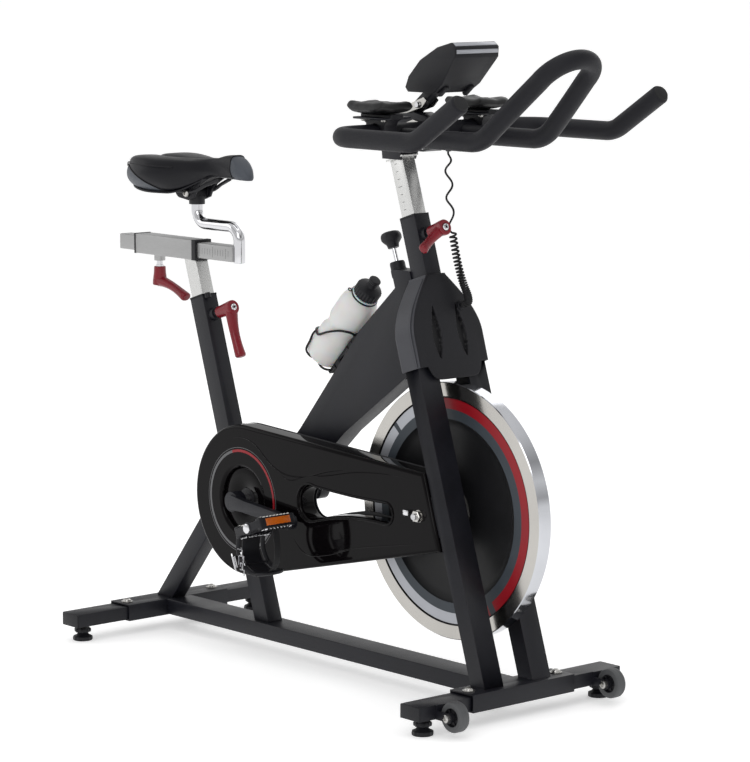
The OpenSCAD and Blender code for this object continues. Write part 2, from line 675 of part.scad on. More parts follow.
module horn(s) {
    hx = bar_x + corner_r;
    translate([hx, s*(horn_y - corner_r), bar_z]) rotate([0, 0, s > 0 ? 90 : 180]) elbow(corner_r, 90);
    reach = horn_bend_x - hx;
    translate([hx, s*horn_y, bar_z]) rotate([0, 90, 0]) cylinder(r = bar_r, h = reach);
    translate([horn_bend_x, s*horn_y, bar_z + 70]) rotate([90, 90, 0]) elbow(70, horn_rise);
    straight = [horn_bend_x + 70*sin(horn_rise), s*horn_y, bar_z + 70*(1 - cos(horn_rise))];
    translate(straight) rotate([0, 90 - horn_rise, 0]) {
            cylinder(r = bar_r, h = tip_len);
            translate([0, 0, tip_len]) cylinder(r1 = bar_r, r2 = bar_r - 4, h = 4);
        }
}
module handlebar() {
    color("#1c1c1e") {
        translate([bar_x, 0, bar_z]) ycyl(bar_r, corner_r - horn_y, horn_y - corner_r);
        for (s = [-1, 1]) horn(s);
    }
}
loop_y = 55;
loop_low_y = 73;                     // half the gap between its legs at the bottom
loop_bend_x = 441;
loop_rise = 41.8;
loop_z = 1012;
loop_run = (648 - bar_r - loop_bend_x - 70*sin(loop_rise))/cos(loop_rise) - loop_y;
loop_path = let (bx = loop_bend_x + 70*sin(loop_rise), bz = loop_z + 70*(1 - cos(loop_rise)),
        side = concat([[bar_x, loop_low_y, loop_z]],
            [for (a = [0:4]) let (t = loop_rise*a/4)
                [loop_bend_x + 70*sin(t), loop_low_y, loop_z + 70*(1 - cos(t))]],
            [for (a = [0:15:90]) let (l = loop_run + loop_y*sin(a))
                [bx + l*cos(loop_rise), loop_y*cos(a), bz + l*sin(loop_rise)]]))
    concat(side, [for (i = [len(side) - 2:-1:0]) [side[i][0], -side[i][1], side[i][2]]]);
module handlebar_loop() { color("#1c1c1e") swept_level(loop_path, bar_r, 24); }
elbow_x = 258;
elbow_y = 116;
pad_base = 26;                       // from the bar's middle up to the cradle plate
module elbow_cradles() {
    color("#1a1a1c") for (s = [-1, 1]) translate([elbow_x, s*elbow_y, 0]) {
        difference() {
            translate([-24, -14, bar_z]) cube([44, 28, pad_base]);
            translate([bar_x - elbow_x, 0, bar_z]) ycyl(bar_r, -40, 40);
        }
        translate([-40, -34, bar_z + pad_base]) cube([80, 68, 4]);
    }
}
module elbow_pads() {
    color("#161617") for (s = [-1, 1]) translate([elbow_x, s*elbow_y, bar_z + pad_base + 4.3]) hull() {
        for (x = [-34, 34], y = [-26, 26]) translate([x, y, 0]) {
            cylinder(r = 14, h = 10, $fn = 16);
            translate([0, 0, 10]) cylinder(r1 = 18, r2 = 12, h = 8, $fn = 16);
        }
    }
}
console_outline = [[238, 1098], [250, 1118], [284, 1147], [330, 1171], [366, 1180], [377, 1172], [376, 1154],
    [336, 1106], [312, 1090], [244, 1090]];
module console() {
    color("#202024") difference() {
        intersection() {
            plate_y(console_outline, -52, 52);
            translate([230, 0, 0]) rotate([90, 0, 90]) linear_extrude(160)
                polygon([[-52, 1190], [-52, 1150], [-42, 1080], [42, 1080], [52, 1150], [52, 1190]]);
        }
        plate_y(console_arm, -12, 12);
        for (y = [-30, 30]) at_button(y) translate([0, 0, -6]) cylinder(r = 6.3, h = 20);
    }
}
module at_button(y) { translate([267, y, 1132.5]) rotate([0, -40.5, 0]) children(); }
module console_button(y) { color("#9a1a28") at_button(y) translate([0, 0, -3.5]) cylinder(r = 6, h = 6.5); }
module console_button_right() { console_button(-30); }
module console_button_left() { console_button(30); }

// ---- Brake: the knob's rod passes through the down tube to the pad on the rim.
module brake_knob() {
    color("#19191b") at_brake() {
        translate([0, 0, -15]) cylinder(r1 = 16, r2 = 19.5, h = 6);
        translate([0, 0, -9]) cylinder(r = 19.5, h = 6);
        translate([0, 0, -3]) cylinder(r1 = 19.5, r2 = 10, h = 18);
    }
    color("silver") at_brake() translate([0, 0, 15]) cylinder(r = 4, h = pad_z - 37 - 15);
}
module brake_collar() {
    color("silver") at_brake() translate([0, 0, 66]) difference() {
        cylinder(r = 5.8, h = 24);
        translate([0, 0, -1]) cylinder(r = 4 + run_gap, h = 26);
    }
}
module brake_pad() {
    color("#3a3a3c") difference() {
        at_brake() union() {
            translate([0, 0, pad_z - 44]) cylinder(r = 9, h = 14);
            translate([-30, -13, pad_z - 32]) cube([60, 26, 34]);
        }
        translate([axle_x, 0, wheel_z]) ycyl(wheel_r + pad_gap, -40, 40);
        at_brake() translate([0, 0, pad_z - 70]) cylinder(r = 4 + run_gap, h = 34);
    }
}

// ---- Bottle
module at_bottle() { translate(bottle_foot) rotate([0, bottle_tilt, 0]) children(); }
bottle_r = 36;
module bottle() {
    color("#e9e9e6") at_bottle() rotate_extrude() difference() {
        polygon(concat([[0, 0], [bottle_r - 4, 0], [bottle_r, 5], [bottle_r, 62], [bottle_r - 5, 72]],
            [[bottle_r - 5, 88], [bottle_r, 98], [bottle_r, 140], [bottle_r - 6, 158], [23, 166]],
            [[21, 170], [21, bottle_h], [0, bottle_h]]));
        polygon(concat([[-1, 2], [bottle_r - 5, 2], [bottle_r - 1.5, 6], [bottle_r - 1.5, 61]],
            [[bottle_r - 6.5, 71], [bottle_r - 6.5, 89], [bottle_r - 1.5, 99], [bottle_r - 1.5, 139]],
            [[bottle_r - 7.5, 156], [19, 166], [19, bottle_h + 1], [-1, bottle_h + 1]]));
    }
}
module bottle_cap() {
    color("#151516") at_bottle() difference() {
        union() {
            translate([0, 0, bottle_h - 5]) cylinder(r = 24, h = 19);
            translate([0, 0, bottle_h + 14]) cylinder(r1 = 24, r2 = 12, h = 8);
            translate([0, 0, bottle_h + 22]) cylinder(r = 9, h = 14);
        }
        translate([0, 0, bottle_h - 6]) cylinder(r = 21.3, h = 6.3);
    }
}
module bottle_cage() {
    color("#161617") difference() {
        union() {
            at_bottle() {
                difference() {
                    translate([0, 0, -5]) cylinder(r = 41, h = 24);
                    translate([0, 0, -0.5]) cylinder(r = bottle_r + 0.6, h = 40);
                    translate([-20, -20, -10]) cube([40, 40, 20]);
                    translate([0, 0, 6]) rotate([0, 0, 140]) translate([0, -60, -1]) cube([80, 60, 40]);
                }
                difference() {
                    translate([36.7, -9, -5]) cube([4, 18, 124]);
                    translate([0, 0, -30]) cylinder(r = bottle_r + 0.6, h = 200);
                }
                difference() {
                    translate([0, 0, 102]) cylinder(r = 40.6, h = 9);
                    translate([0, 0, 100]) cylinder(r = bottle_r + 0.6, h = 14);
                    translate([-90, -60, 90]) cube([80, 120, 40]);
                }
                for (z = [22, 92]) translate([38, -7, z]) cube([26, 14, 12]);
            }
        }
        plate_y(tube_outline, -30, 30);
    }
}

main_beam();
foot_sleeves();
foot_tubes();
foot_end_caps();
foot_bolts();
seat_tube();
rear_strut();
down_tube();
head_tube();
fork_legs();
head_shroud();
wheel_axles();
guard_outer();
guard_inner();
flywheel_axle();
axle_nuts();
bottle_cage();
drive_belt();
cord_socket();
curly_cord();
crank_bearings();
levelling_foot_rear_right();
levelling_foot_rear_left();
levelling_foot_front_right();
levelling_foot_front_left();
transport_wheel_right();
transport_wheel_left();
seat_post();
slider_sleeve();
slider_bushings();
slider_post();
saddle_clamp();
saddle_base();
saddle_cushion();
slider_lever();
seat_lever();
head_lever();
handlebar_post();
handlebar_stem();
handlebar();
handlebar_loop();
elbow_cradles();
elbow_pads();
console();
console_button_right();
console_button_left();
cord_plug();
brake_knob();
brake_collar();
brake_pad();
flywheel();
flywheel_pulley();
flywheel_bearings();
crank_axle();
crank_arms();
crank_pulley();
pedal_right();
pedal_left();
bottle();
bottle_cap();
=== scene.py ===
import json
from math import acos, atan2, copysign, cos, degrees, exp, hypot, pi, radians, sin, sqrt
import bmesh
import bpy
from mathutils import Matrix, Vector, noise

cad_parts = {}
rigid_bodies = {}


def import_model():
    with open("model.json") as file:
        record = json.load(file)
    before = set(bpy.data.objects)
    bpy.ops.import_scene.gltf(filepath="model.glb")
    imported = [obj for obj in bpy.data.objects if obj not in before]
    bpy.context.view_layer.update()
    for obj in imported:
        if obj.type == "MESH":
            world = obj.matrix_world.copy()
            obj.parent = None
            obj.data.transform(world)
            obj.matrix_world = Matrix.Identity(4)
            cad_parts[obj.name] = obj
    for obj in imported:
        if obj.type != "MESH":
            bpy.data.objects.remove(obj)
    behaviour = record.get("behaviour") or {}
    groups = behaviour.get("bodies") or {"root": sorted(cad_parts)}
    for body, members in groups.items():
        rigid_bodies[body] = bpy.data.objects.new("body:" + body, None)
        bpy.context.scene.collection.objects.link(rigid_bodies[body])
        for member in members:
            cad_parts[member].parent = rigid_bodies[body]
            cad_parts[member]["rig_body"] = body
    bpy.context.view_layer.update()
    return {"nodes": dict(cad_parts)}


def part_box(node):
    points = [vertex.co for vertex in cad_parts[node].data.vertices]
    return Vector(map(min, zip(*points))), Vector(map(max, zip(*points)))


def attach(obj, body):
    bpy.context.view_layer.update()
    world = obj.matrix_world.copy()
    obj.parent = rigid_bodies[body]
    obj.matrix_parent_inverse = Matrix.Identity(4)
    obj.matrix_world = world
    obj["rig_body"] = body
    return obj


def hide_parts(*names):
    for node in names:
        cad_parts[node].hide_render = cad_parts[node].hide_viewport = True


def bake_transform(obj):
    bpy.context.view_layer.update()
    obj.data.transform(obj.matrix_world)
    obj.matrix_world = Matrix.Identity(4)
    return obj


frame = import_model()
LEAN = radians(17.75)
UP = Vector((-sin(LEAN), 0, cos(LEAN)))      # along the leaning tubes
OUT = Vector((cos(LEAN), 0, sin(LEAN)))      # out of their front faces
SIDE = Vector((0, 1, 0))
LEVEL = ((1, 0, 0), SIDE, (0, 0, 1))
SIDES = ((-1, "right"), (1, "left"))
FORK_X, SEAT_X, TUBE_FOOT = 0.471, -0.204, 0.060     # where the leaning tubes stand
BAR_R = 0.017


# ---- Camera
def make_camera():
    data = bpy.data.cameras.new("camera")
    data.lens, data.sensor_width = 153.02, 36
    data.clip_start, data.clip_end = 0.1, 100
    cam = link("camera", data)
    cam.location = (4.51574, -3.85705, 1.39282)
    cam.rotation_euler = Vector((-0.74507, 0.65182, -0.14143)).to_track_quat("-Z", "Y").to_euler()
    bpy.context.scene.camera = cam


# ---- Materials
def material(name, color, rough=0.5, metal=0.0, vary=0.15, vary_scale=18, grain=0.0, grain_scale=900,
        coat=0.0, streak=None, spec=0.5, rough_vary=0.08):
    """A procedural finish: colour and roughness wander a little, and fine grain is a bump."""
    m = bpy.data.materials.new(name)
    m.use_nodes = True
    nt = m.node_tree
    p = nt.nodes["Principled BSDF"]
    p.inputs["Metallic"].default_value = metal
    p.inputs["Coat Weight"].default_value = coat
    p.inputs["Coat Roughness"].default_value = 0.06
    p.inputs["Specular IOR Level"].default_value = spec
    co = nt.nodes.new("ShaderNodeTexCoord").outputs["Object"]
    if streak:
        mp = nt.nodes.new("ShaderNodeMapping")
        mp.inputs["Scale"].default_value = streak
        nt.links.new(co, mp.inputs["Vector"])
        co = mp.outputs["Vector"]

    def noise_node(scale, detail):
        n = nt.nodes.new("ShaderNodeTexNoise")
        n.inputs["Scale"].default_value = scale
        n.inputs["Detail"].default_value = detail
        nt.links.new(co, n.inputs["Vector"])
        return n.outputs["Fac"]

    slow = noise_node(vary_scale, 5)
    ramp = nt.nodes.new("ShaderNodeValToRGB")
    ramp.color_ramp.elements[0].position = 0.3
    ramp.color_ramp.elements[1].position = 0.7
    ramp.color_ramp.elements[0].color = [c * (1 - vary) for c in color] + [1]
    ramp.color_ramp.elements[1].color = [min(1, c * (1 + vary)) for c in color] + [1]
    nt.links.new(slow, ramp.inputs["Fac"])
    nt.links.new(ramp.outputs["Color"], p.inputs["Base Color"])
    rng = nt.nodes.new("ShaderNodeMapRange")
    rng.inputs["To Min"].default_value = max(0.02, rough - rough_vary)
    rng.inputs["To Max"].default_value = min(1, rough + rough_vary)
    nt.links.new(slow, rng.inputs["Value"])
    nt.links.new(rng.outputs["Result"], p.inputs["Roughness"])
    if grain:
        bump = nt.nodes.new("ShaderNodeBump")
        bump.inputs["Strength"].default_value = grain
        bump.inputs["Distance"].default_value = 0.0004
        nt.links.new(noise_node(grain_scale, 3), bump.inputs["Height"])
        nt.links.new(bump.outputs["Normal"], p.inputs["Normal"])
    return m


def cell_material(name, color, rough, scale, depth, coat=0.0, spec=0.5):
    """Leather or a moulded reflector: cells of a Voronoi pattern as a bump."""
    m = material(name, color, rough, grain=0.0, coat=coat, spec=spec)
    nt = m.node_tree
    p = nt.nodes["Principled BSDF"]
    vor = nt.nodes.new("ShaderNodeTexVoronoi")
    vor.inputs["Scale"].default_value = scale
    co = nt.nodes.new("ShaderNodeTexCoord")
    nt.links.new(co.outputs["Object"], vor.inputs["Vector"])
    bump = nt.nodes.new("ShaderNodeBump")
    bump.inputs["Strength"].default_value = depth
    bump.inputs["Distance"].default_value = 0.0006
    nt.links.new(vor.outputs["Distance"], bump.inputs["Height"])
    nt.links.new(bump.outputs["Normal"], p.inputs["Normal"])
    return m


def milky(name):
    m = material(name, (0.70, 0.70, 0.69), 0.32, vary=0.04, grain=0.15, grain_scale=300)
    p = m.node_tree.nodes["Principled BSDF"]
    p.inputs["Subsurface Weight"].default_value = 0.5
    p.inputs["Subsurface Scale"].default_value = 0.02
    p.inputs["Transmission Weight"].default_value = 0.12
    return m


M = {"powder": material("powder_coat", (0.0072, 0.0074, 0.0108), 0.40, grain=0.35, grain_scale=1400, vary=0.2,
    spec=0.28), "moulded": material("moulded_black", (0.0068, 0.0068, 0.0092), 0.46, grain=0.6,
    grain_scale=1100, spec=0.28), "gloss": material("gloss_black", (0.0022, 0.0017, 0.0021), 0.07,
    rough_vary=0.03, grain=0.03, grain_scale=40, spec=0.09), "dipped": material("dipped_grip",
    (0.0078, 0.0078, 0.0108), 0.52, grain=0.9, grain_scale=1500, vary=0.12, spec=0.22),
    "rubber": material("rubber", (0.010, 0.010, 0.011), 0.66, spec=0.3, grain=0.8, grain_scale=900),
    "chrome": material("chrome", (0.66, 0.66, 0.68), 0.06, metal=1, vary=0.03, rough_vary=0.03),
    "satin": material("satin_plate", (0.36, 0.36, 0.36), 0.36, metal=0.85, vary=0.05, grain=0.15,
    streak=(6, 60, 60), grain_scale=40), "post": material("post_plate", (0.64, 0.64, 0.63), 0.26, metal=0.9,
    vary=0.04, grain=0.02, streak=(60, 60, 6), grain_scale=40),
    "zinc": material("zinc_steel", (0.50, 0.49, 0.47), 0.25, metal=1, vary=0.12, grain=0.2, grain_scale=500),
    "rim": material("machined_rim", (0.46, 0.445, 0.42), 0.17, metal=1, vary=0.06, rough_vary=0.06,
    vary_scale=8),
    "tread": material("polished_rim", (0.56, 0.57, 0.60), 0.10, metal=1, vary=0.03, rough_vary=0.02),
    "disc": material("disc_paint", (0.005, 0.005, 0.006), 0.42, spec=0.25, grain=0.3, grain_scale=900),
    "grey": material("grey_ring", (0.034, 0.042, 0.052), 0.45, grain=0.2, spec=0.3),
    "silver": material("silver_ring", (0.36, 0.37, 0.40), 0.3, metal=0.5, vary=0.05),
    "red": material("red_ring", (0.24, 0.003, 0.009), 0.35, vary=0.08, grain=0.1, spec=0.3),
    "lever": material("red_lever", (0.17, 0.004, 0.011), 0.27, vary=0.15, spec=0.4, grain=0.3,
    grain_scale=500), "line": material("grey_line", (0.085, 0.085, 0.09), 0.4, vary=0.1),
    "amber": cell_material("amber_reflector", (0.50, 0.105, 0.006), 0.2, 420, 0.7, coat=0.8),
    "leather": cell_material("saddle_leather", (0.0050, 0.0050, 0.0072), 0.34, 950, 0.3, spec=0.22),
    "panel": cell_material("saddle_panel", (0.058, 0.065, 0.078), 0.5, 700, 0.4, spec=0.3),
    "pad": cell_material("pad_leather", (0.0045, 0.0045, 0.005), 0.4, 800, 0.35, spec=0.35),
    "milky": milky("milky_plastic"), "screen": material("screen", (0.06, 0.075, 0.07), 0.12, coat=0.7),
    "steel": material("ground_steel", (0.5, 0.5, 0.51), 0.3, metal=1, vary=0.08, grain=0.2),
    # A lighter grey for the shroud's flanks and edge beads: a painted highlight.
    "side": material("shroud_side_highlight", (0.040, 0.041, 0.048), 0.42, grain=0.3, grain_scale=1100, spec=0.3),
    "tyre": material("grey_tyre", (0.070, 0.072, 0.075), 0.6, grain=0.8, grain_scale=700, vary=0.2),}


# ---- Mesh helpers
def link(name, data):
    obj = bpy.data.objects.new(name, data)
    bpy.context.scene.collection.objects.link(obj)
    return obj


def mm(*values, per=2):
    """Points of two or three numbers each, from lengths in millimetres."""
    return list(zip(*[iter([v / 1000 for v in values])] * per))


def grid(rows, cols, flip=False, start=0):
    """Quads over rows of cols + 1 points."""
    row, faces = cols + 1, []
    for i in range(rows):
        for k in range(cols):
            a = start + i * row + k
            faces.append([a, a + row, a + row + 1, a + 1] if flip else [a, a + 1, a + row + 1, a + row])
    return faces


def hoops(rows, around, start=0):
    """Quads over rings of points that close on themselves."""
    faces = []
    for i in range(rows):
        for k in range(around):
            a, b = start + i * around + k, start + i * around + (k + 1) % around
            faces.append([a, b, b + around, a + around])
    return faces


def add(name, verts, faces, body, mats, mat_of=None, angle=35):
    mesh = bpy.data.meshes.new(name)
    mesh.from_pydata([tuple(v) for v in verts], [], faces)
    return finish_mesh(name, mesh, body, mats, mat_of, angle)


def finish_mesh(name, mesh, body, mats, mat_of=None, angle=35):
    """mats names the materials; what follows a colon is not used."""
    bm = bmesh.new()
    bm.from_mesh(mesh)
    bmesh.ops.recalc_face_normals(bm, faces=bm.faces)
    bm.to_mesh(mesh)
    bm.free()
    obj = link(name, mesh)
    keys, _, slot = mats.partition(":")
    keys = keys.split()
    for key in keys:
        mesh.materials.append(M[key])
    if mat_of:
        for poly in mesh.polygons:
            poly.material_index = mat_of(poly)
    mesh.shade_smooth()
    mesh.set_sharp_from_angle(angle=radians(angle))
    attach(obj, body)
    return obj


def apply_modifiers(obj):
    dg = bpy.context.evaluated_depsgraph_get()
    data = bpy.data.meshes.new_from_object(obj.evaluated_get(dg))
    obj.modifiers.clear()
    obj.data = data


def wall(obj, thickness, offset):
    thick = obj.modifiers.new("wall", "SOLIDIFY")
    thick.thickness, thick.offset = thickness, offset
    apply_modifiers(obj)


def subdivide(obj):
    sub = obj.modifiers.new("smooth", "SUBSURF")
    sub.levels = sub.render_levels = 1
    apply_modifiers(obj)


def body_of_node(node):
    return frame["nodes"][node]["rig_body"]


def paint(node, key):
    obj = frame["nodes"][node]
    obj.data.materials.clear()
    obj.data.materials.append(M[key])


def rounded(node, key, width, segments=3, angle=32):
    """The CAD node's own shape with its edges rounded, as a separate piece that stands for it."""
    bm = bmesh.new()
    bm.from_mesh(frame["nodes"][node].data)
    bmesh.ops.remove_doubles(bm, verts=bm.verts, dist=1e-6)
    bmesh.ops.dissolve_limit(bm, angle_limit=radians(1.5), verts=bm.verts, edges=bm.edges)
    mesh = bpy.data.meshes.new(node + "_shape")
    bm.to_mesh(mesh)
    bm.free()
    obj = link(node + "_shape", mesh)
    bevel = obj.modifiers.new("edge", "BEVEL")
    bevel.width = width
    bevel.segments = segments
    bevel.limit_method = "ANGLE"
    bevel.angle_limit = radians(angle)
    bevel.use_clamp_overlap = True
    apply_modifiers(obj)
    mesh = obj.data
    mesh.materials.clear()
    mesh.materials.append(M[key])
    mesh.shade_smooth()
    mesh.set_sharp_from_angle(angle=radians(40))
    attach(obj, body_of_node(node))
    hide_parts(node)
    return obj


def lathe(name, profile, origin, axis, body, mats, steps=64, mat_of=None, angle=35):
    """Turns (radius, height) points about an axis. A radius of 0 closes the end."""
    origin, axis = Vector(origin), Vector(axis).normalized()
    u = axis.orthogonal().normalized()
    if abs(axis.dot(SIDE)) > 0.9:
        u = Vector((1, 0, 0))
    v = axis.cross(u)
    verts, rings = [], []
    for r, h in profile:
        if r < 1e-7:
            rings.append([len(verts)] * steps)
            verts.append(origin + axis * h)
        else:
            rings.append([len(verts) + k for k in range(steps)])
            for k in range(steps):
                a = 2 * pi * k / steps
                verts.append(origin + axis * h + r * (cos(a) * u + sin(a) * v))
    faces, tags = [], []
    for i in range(len(rings) - 1):
        for k in range(steps):
            m = (k + 1) % steps
            quad = [rings[i][k], rings[i][m], rings[i + 1][m], rings[i + 1][k]]
            face = list(dict.fromkeys(quad))
            if len(face) > 2:
                faces.append(face)
                tags.append((i, k))
    chosen = (lambda poly: mat_of(*tags[poly.index])) if mat_of else None
    return add(name, verts, faces, body, mats, chosen, angle)


ROUND = 96


def knurled(rings, origin, axis, radius):
    """Rings about an axis, where radius(ring, step, r) adds ribs or lobes."""
    v, verts = axis.cross(SIDE), []
    for j, (r, h) in enumerate(rings):
        for k in range(ROUND):
            a = 2 * pi * k / ROUND
            verts.append(origin + axis * h + radius(j, k, r) * (cos(a) * SIDE + sin(a) * v))
    rows = len(rings) - 1
    return verts, hoops(rows, ROUND), [rows * ROUND + k for k in range(ROUND)]


def smooth_path(points, steps=8):
    """A Catmull-Rom curve through the points."""
    pts = [Vector(p) for p in points]
    out = []
    for i in range(len(pts) - 1):
        a, b, c, d = pts[max(i - 1, 0)], pts[i], pts[i + 1], pts[min(i + 2, len(pts) - 1)]
        for k in range(steps):
            t = k / steps
            out.append(0.5 * (2 * b + (c - a) * t + (2 * a - 5 * b + 4 * c - d) * t ** 2
                              + (3 * b - a - 3 * c + d) * t ** 3))
    return out + [pts[-1]]


def frames_along(path):
    """A sideways pair of directions at each point that doesn't twist."""
    n = len(path)
    tang = [(path[min(i + 1, n - 1)] - path[max(i - 1, 0)]).normalized() for i in range(n)]
    u = tang[0].orthogonal().normalized()
    pairs = []
    for t in tang:
        u = (u - t * u.dot(t)).normalized()
        pairs.append((u.copy(), t.cross(u)))
    return tang, pairs


def tube(name, path, radius, body, mats, sides=24, flat=1.0, up=None, round_end=0.0, angle=35):
    """Sweeps a circle, or with flat below 1 an ellipse, along a path. radius may be a list."""
    path = [Vector(p) for p in path]
    radii = radius if isinstance(radius, list) else [radius] * len(path)
    if round_end:
        first, last = (path[0] - path[1]).normalized(), (path[-1] - path[-2]).normalized()
        caps = [(cos(a), sin(a)) for a in (radians(x) for x in (20, 45, 70, 85))]
        path = ([path[0] + first * round_end * s for c,
            s in reversed(caps)] + path + [path[-1] + last * round_end * s for c, s in caps])
        radii = ([radii[0] - round_end * (1 - c) for c,
            s in reversed(caps)] + radii + [radii[-1] - round_end * (1 - c) for c, s in caps])
    tang, pairs = frames_along(path)
    if up is not None:
        pairs = []
        for t in tang:
            v = (Vector(up) - t * Vector(up).dot(t)).normalized()
            pairs.append((v.cross(t), v))
    verts = []
    for p, r, (u, v) in zip(path, radii, pairs):
        for k in range(sides):
            a = 2 * pi * k / sides
            verts.append(p + r * (cos(a) * u + flat * sin(a) * v))
    faces = hoops(len(path) - 1, sides)
    faces += [list(range(sides))[::-1], [(len(path) - 1) * sides + k for k in range(sides)]]
    return add(name, verts, faces, body, mats, angle=angle)


def block(name, center, size, axes, body, mats, edge=0.0015, segments=2):
    """A box with rounded edges, set along three directions."""
    bm = bmesh.new()
    bmesh.ops.create_cube(bm, size=1)
    for v in bm.verts:
        v.co = Vector(center) + sum((Vector(a) * s * c for a, s, c in zip(axes, size, v.co)), Vector())
    bmesh.ops.bevel(bm, geom=bm.edges, offset=edge, segments=segments, profile=0.5, affect="EDGES")
    mesh = bpy.data.meshes.new(name)
    bm.to_mesh(mesh)
    bm.free()
    return finish_mesh(name, mesh, body, mats)


def plate(name, loops, y, depth, edge, body, mats, segments=4):
    """A flat shape in the XZ plane, with holes, its outer side facing -Y and every edge rounded."""
    curve = bpy.data.curves.new(name, "CURVE")
    curve.dimensions = "2D"
    curve.fill_mode = "BOTH"
    curve.extrude = depth / 2 - edge
    curve.bevel_depth = edge
    curve.bevel_resolution = segments
    curve.offset = -edge
    for loop in loops:
        s = curve.splines.new("POLY")
        s.points.add(len(loop) - 1)
        for point, (x, z) in zip(s.points, loop):
            point.co = (x, z, 0, 1)
        s.use_cyclic_u = True
    source = link(name + "_outline", curve)
    dg = bpy.context.evaluated_depsgraph_get()
    mesh = bpy.data.meshes.new_from_object(source.evaluated_get(dg))
    bpy.data.objects.remove(source)
    mesh.materials.clear()
    mesh.transform(Matrix.Rotation(radians(90), 4, "X"))
    mesh.transform(Matrix.Translation((0, y, 0)))
    return finish_mesh(name, mesh, body, mats, angle=50)


def arc(cx, cz, r, a0, a1, n):
    return [(cx + r * cos(radians(a0 + (a1 - a0) * i / n)),
        cz + r * sin(radians(a0 + (a1 - a0) * i / n))) for i in range(n + 1)]


def middle(node):
    lo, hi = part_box(node)
    return (lo + hi) / 2


# ---- Curly cord: the route of its fat tube, and a helix round it
CORD_ROUTE = mm(284, 18, 984, 284, 18, 960, 285, 19, 925, 286, 20, 890, 287, 24, 850, 289, 29, 815, 292, 34,
    785, 297, 38, 760, 304, 40, 742, 311, 41, 728, 313, 41, 718, 307, 40, 713, 296, 40, 710, per=3)
CORD_R, COIL_R, TURNS = 0.0019, 0.0058, 26
COIL_START, COIL_END = 0.36, 0.86     # as parts of the route; the turns are looser outside them


def cord():
    axis = smooth_path(CORD_ROUTE, 60)
    total = len(axis) - 1
    points, phase = [], 0.0
    for i, (p, (u, v)) in enumerate(zip(axis, frames_along(axis)[1])):
        s = i / total
        if s < COIL_START:
            rate = 3.2 / COIL_START
        elif s < COIL_END:
            rate = TURNS / (COIL_END - COIL_START)
        else:
            rate = 3.0 / (1 - COIL_END)
        phase += 2 * pi * rate / total
        r = COIL_R * (min(1, s / 0.07) * min(1, (1 - s) / 0.05))
        points.append(p + r * (cos(phase) * u + sin(phase) * v))
    piece = tube("curly_cord_line", points, CORD_R, "frame", "rubber", sides=8)
    piece.parent = None
    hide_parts("curly_cord")
    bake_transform(piece)


# ---- Flywheel
def flywheel():
    c = Vector((0.324, 0, 0.346))
    half = mm(22, 24, 44, 24, 46, 22, 47, 9, 60, 6.5, 150, 6.5, 163, 10, 166, 12.5, 184.5, 12.5, 203.5, 12.7,
        204, 10.5, 206.2, 10.5, 206.6, 14.5, 230.5, 14.5, 231.8, 13)
    profile = half + [(r, -h) for r, h in reversed(half)] + [half[0]]
    n, steps = len(half), 256

    def mat_of(i, k):
        j = i if i < n - 1 else (len(profile) - 3 - i if i < 2 * n - 1 else -1)
        if i == n - 1:
            return 6
        if j <= 2:
            return 0
        if j <= 7:
            return 2 if j == 7 else 1
        if j == 8:
            a = 360 * k / steps
            a = a - 360 if a > 180 else a
            a = -a
            if -64 < a < -58 or -57 < a < -53 or 112 < a < 118 or 136 < a < 139:
                return 2
            return 3 if -58 <= a <= 112 else 4
        if j <= 11:
            return 1
        return 5 if j == 12 else 6

    wheel = lathe("flywheel_shape", profile, c, SIDE, "flywheel",
        "zinc disc grey red silver rim tread:cast_wheel", steps, mat_of, 25)
    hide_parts("flywheel")
    for k in range(3):
        a = radians(30 + 120 * k)
        spot = c + Vector((0.034 * cos(a), -0.024, 0.034 * sin(a)))
        bolt(f"flywheel_bolt_{k}", spot, (0, -1, 0), 0.004, "flywheel", "zinc")


def bolt(name, at, axis, r, body, key, washer=0.0):
    """A dome head with a round socket, on a washer when one is given."""
    at, axis = Vector(at), Vector(axis).normalized()
    h = 0.62 * r
    profile = [(0, 0.30 * h), (0.38 * r, 0.30 * h), (0.42 * r, 0.94 * h), (0.62 * r, 0.86 * h),
        (0.84 * r, 0.62 * h), (0.97 * r, 0.3 * h), (r, 0), (r, -0.0008)]
    lathe(name, profile, at, axis, body, key, 32, angle=50)
    if washer:
        lathe(name + "_washer", [(r, 0), (washer, 0), (washer, -0.0008), (washer, -0.0014)], at, axis, body,
            key, 40)


# ---- Head shroud
def on_tube(x, z):
    """The point at height z on the axis of the leaning tube whose foot is at x."""
    return Vector((x, 0, TUBE_FOOT)) + UP * ((z - TUBE_FOOT) / cos(LEAN))


def fork_point(z, out=0.0, y=0.0):
    return on_tube(FORK_X, z) + OUT * out + SIDE * y


def shroud_half(z):
    d = max(0.0, min(1.0, (0.757 - z) / cos(LEAN) / 0.110))
    return 0.0245 + 0.0600 * sin(pi / 2 * d)


def flame(z):
    """How far z is along the flame hollow, and the hollow's half width there, or None outside it."""
    u = (0.706 - z) / (0.706 - 0.6135)
    if 0 < u < 1:
        return u, 0.0100 * sin(pi * u ** 1.25) ** 0.9
    return None


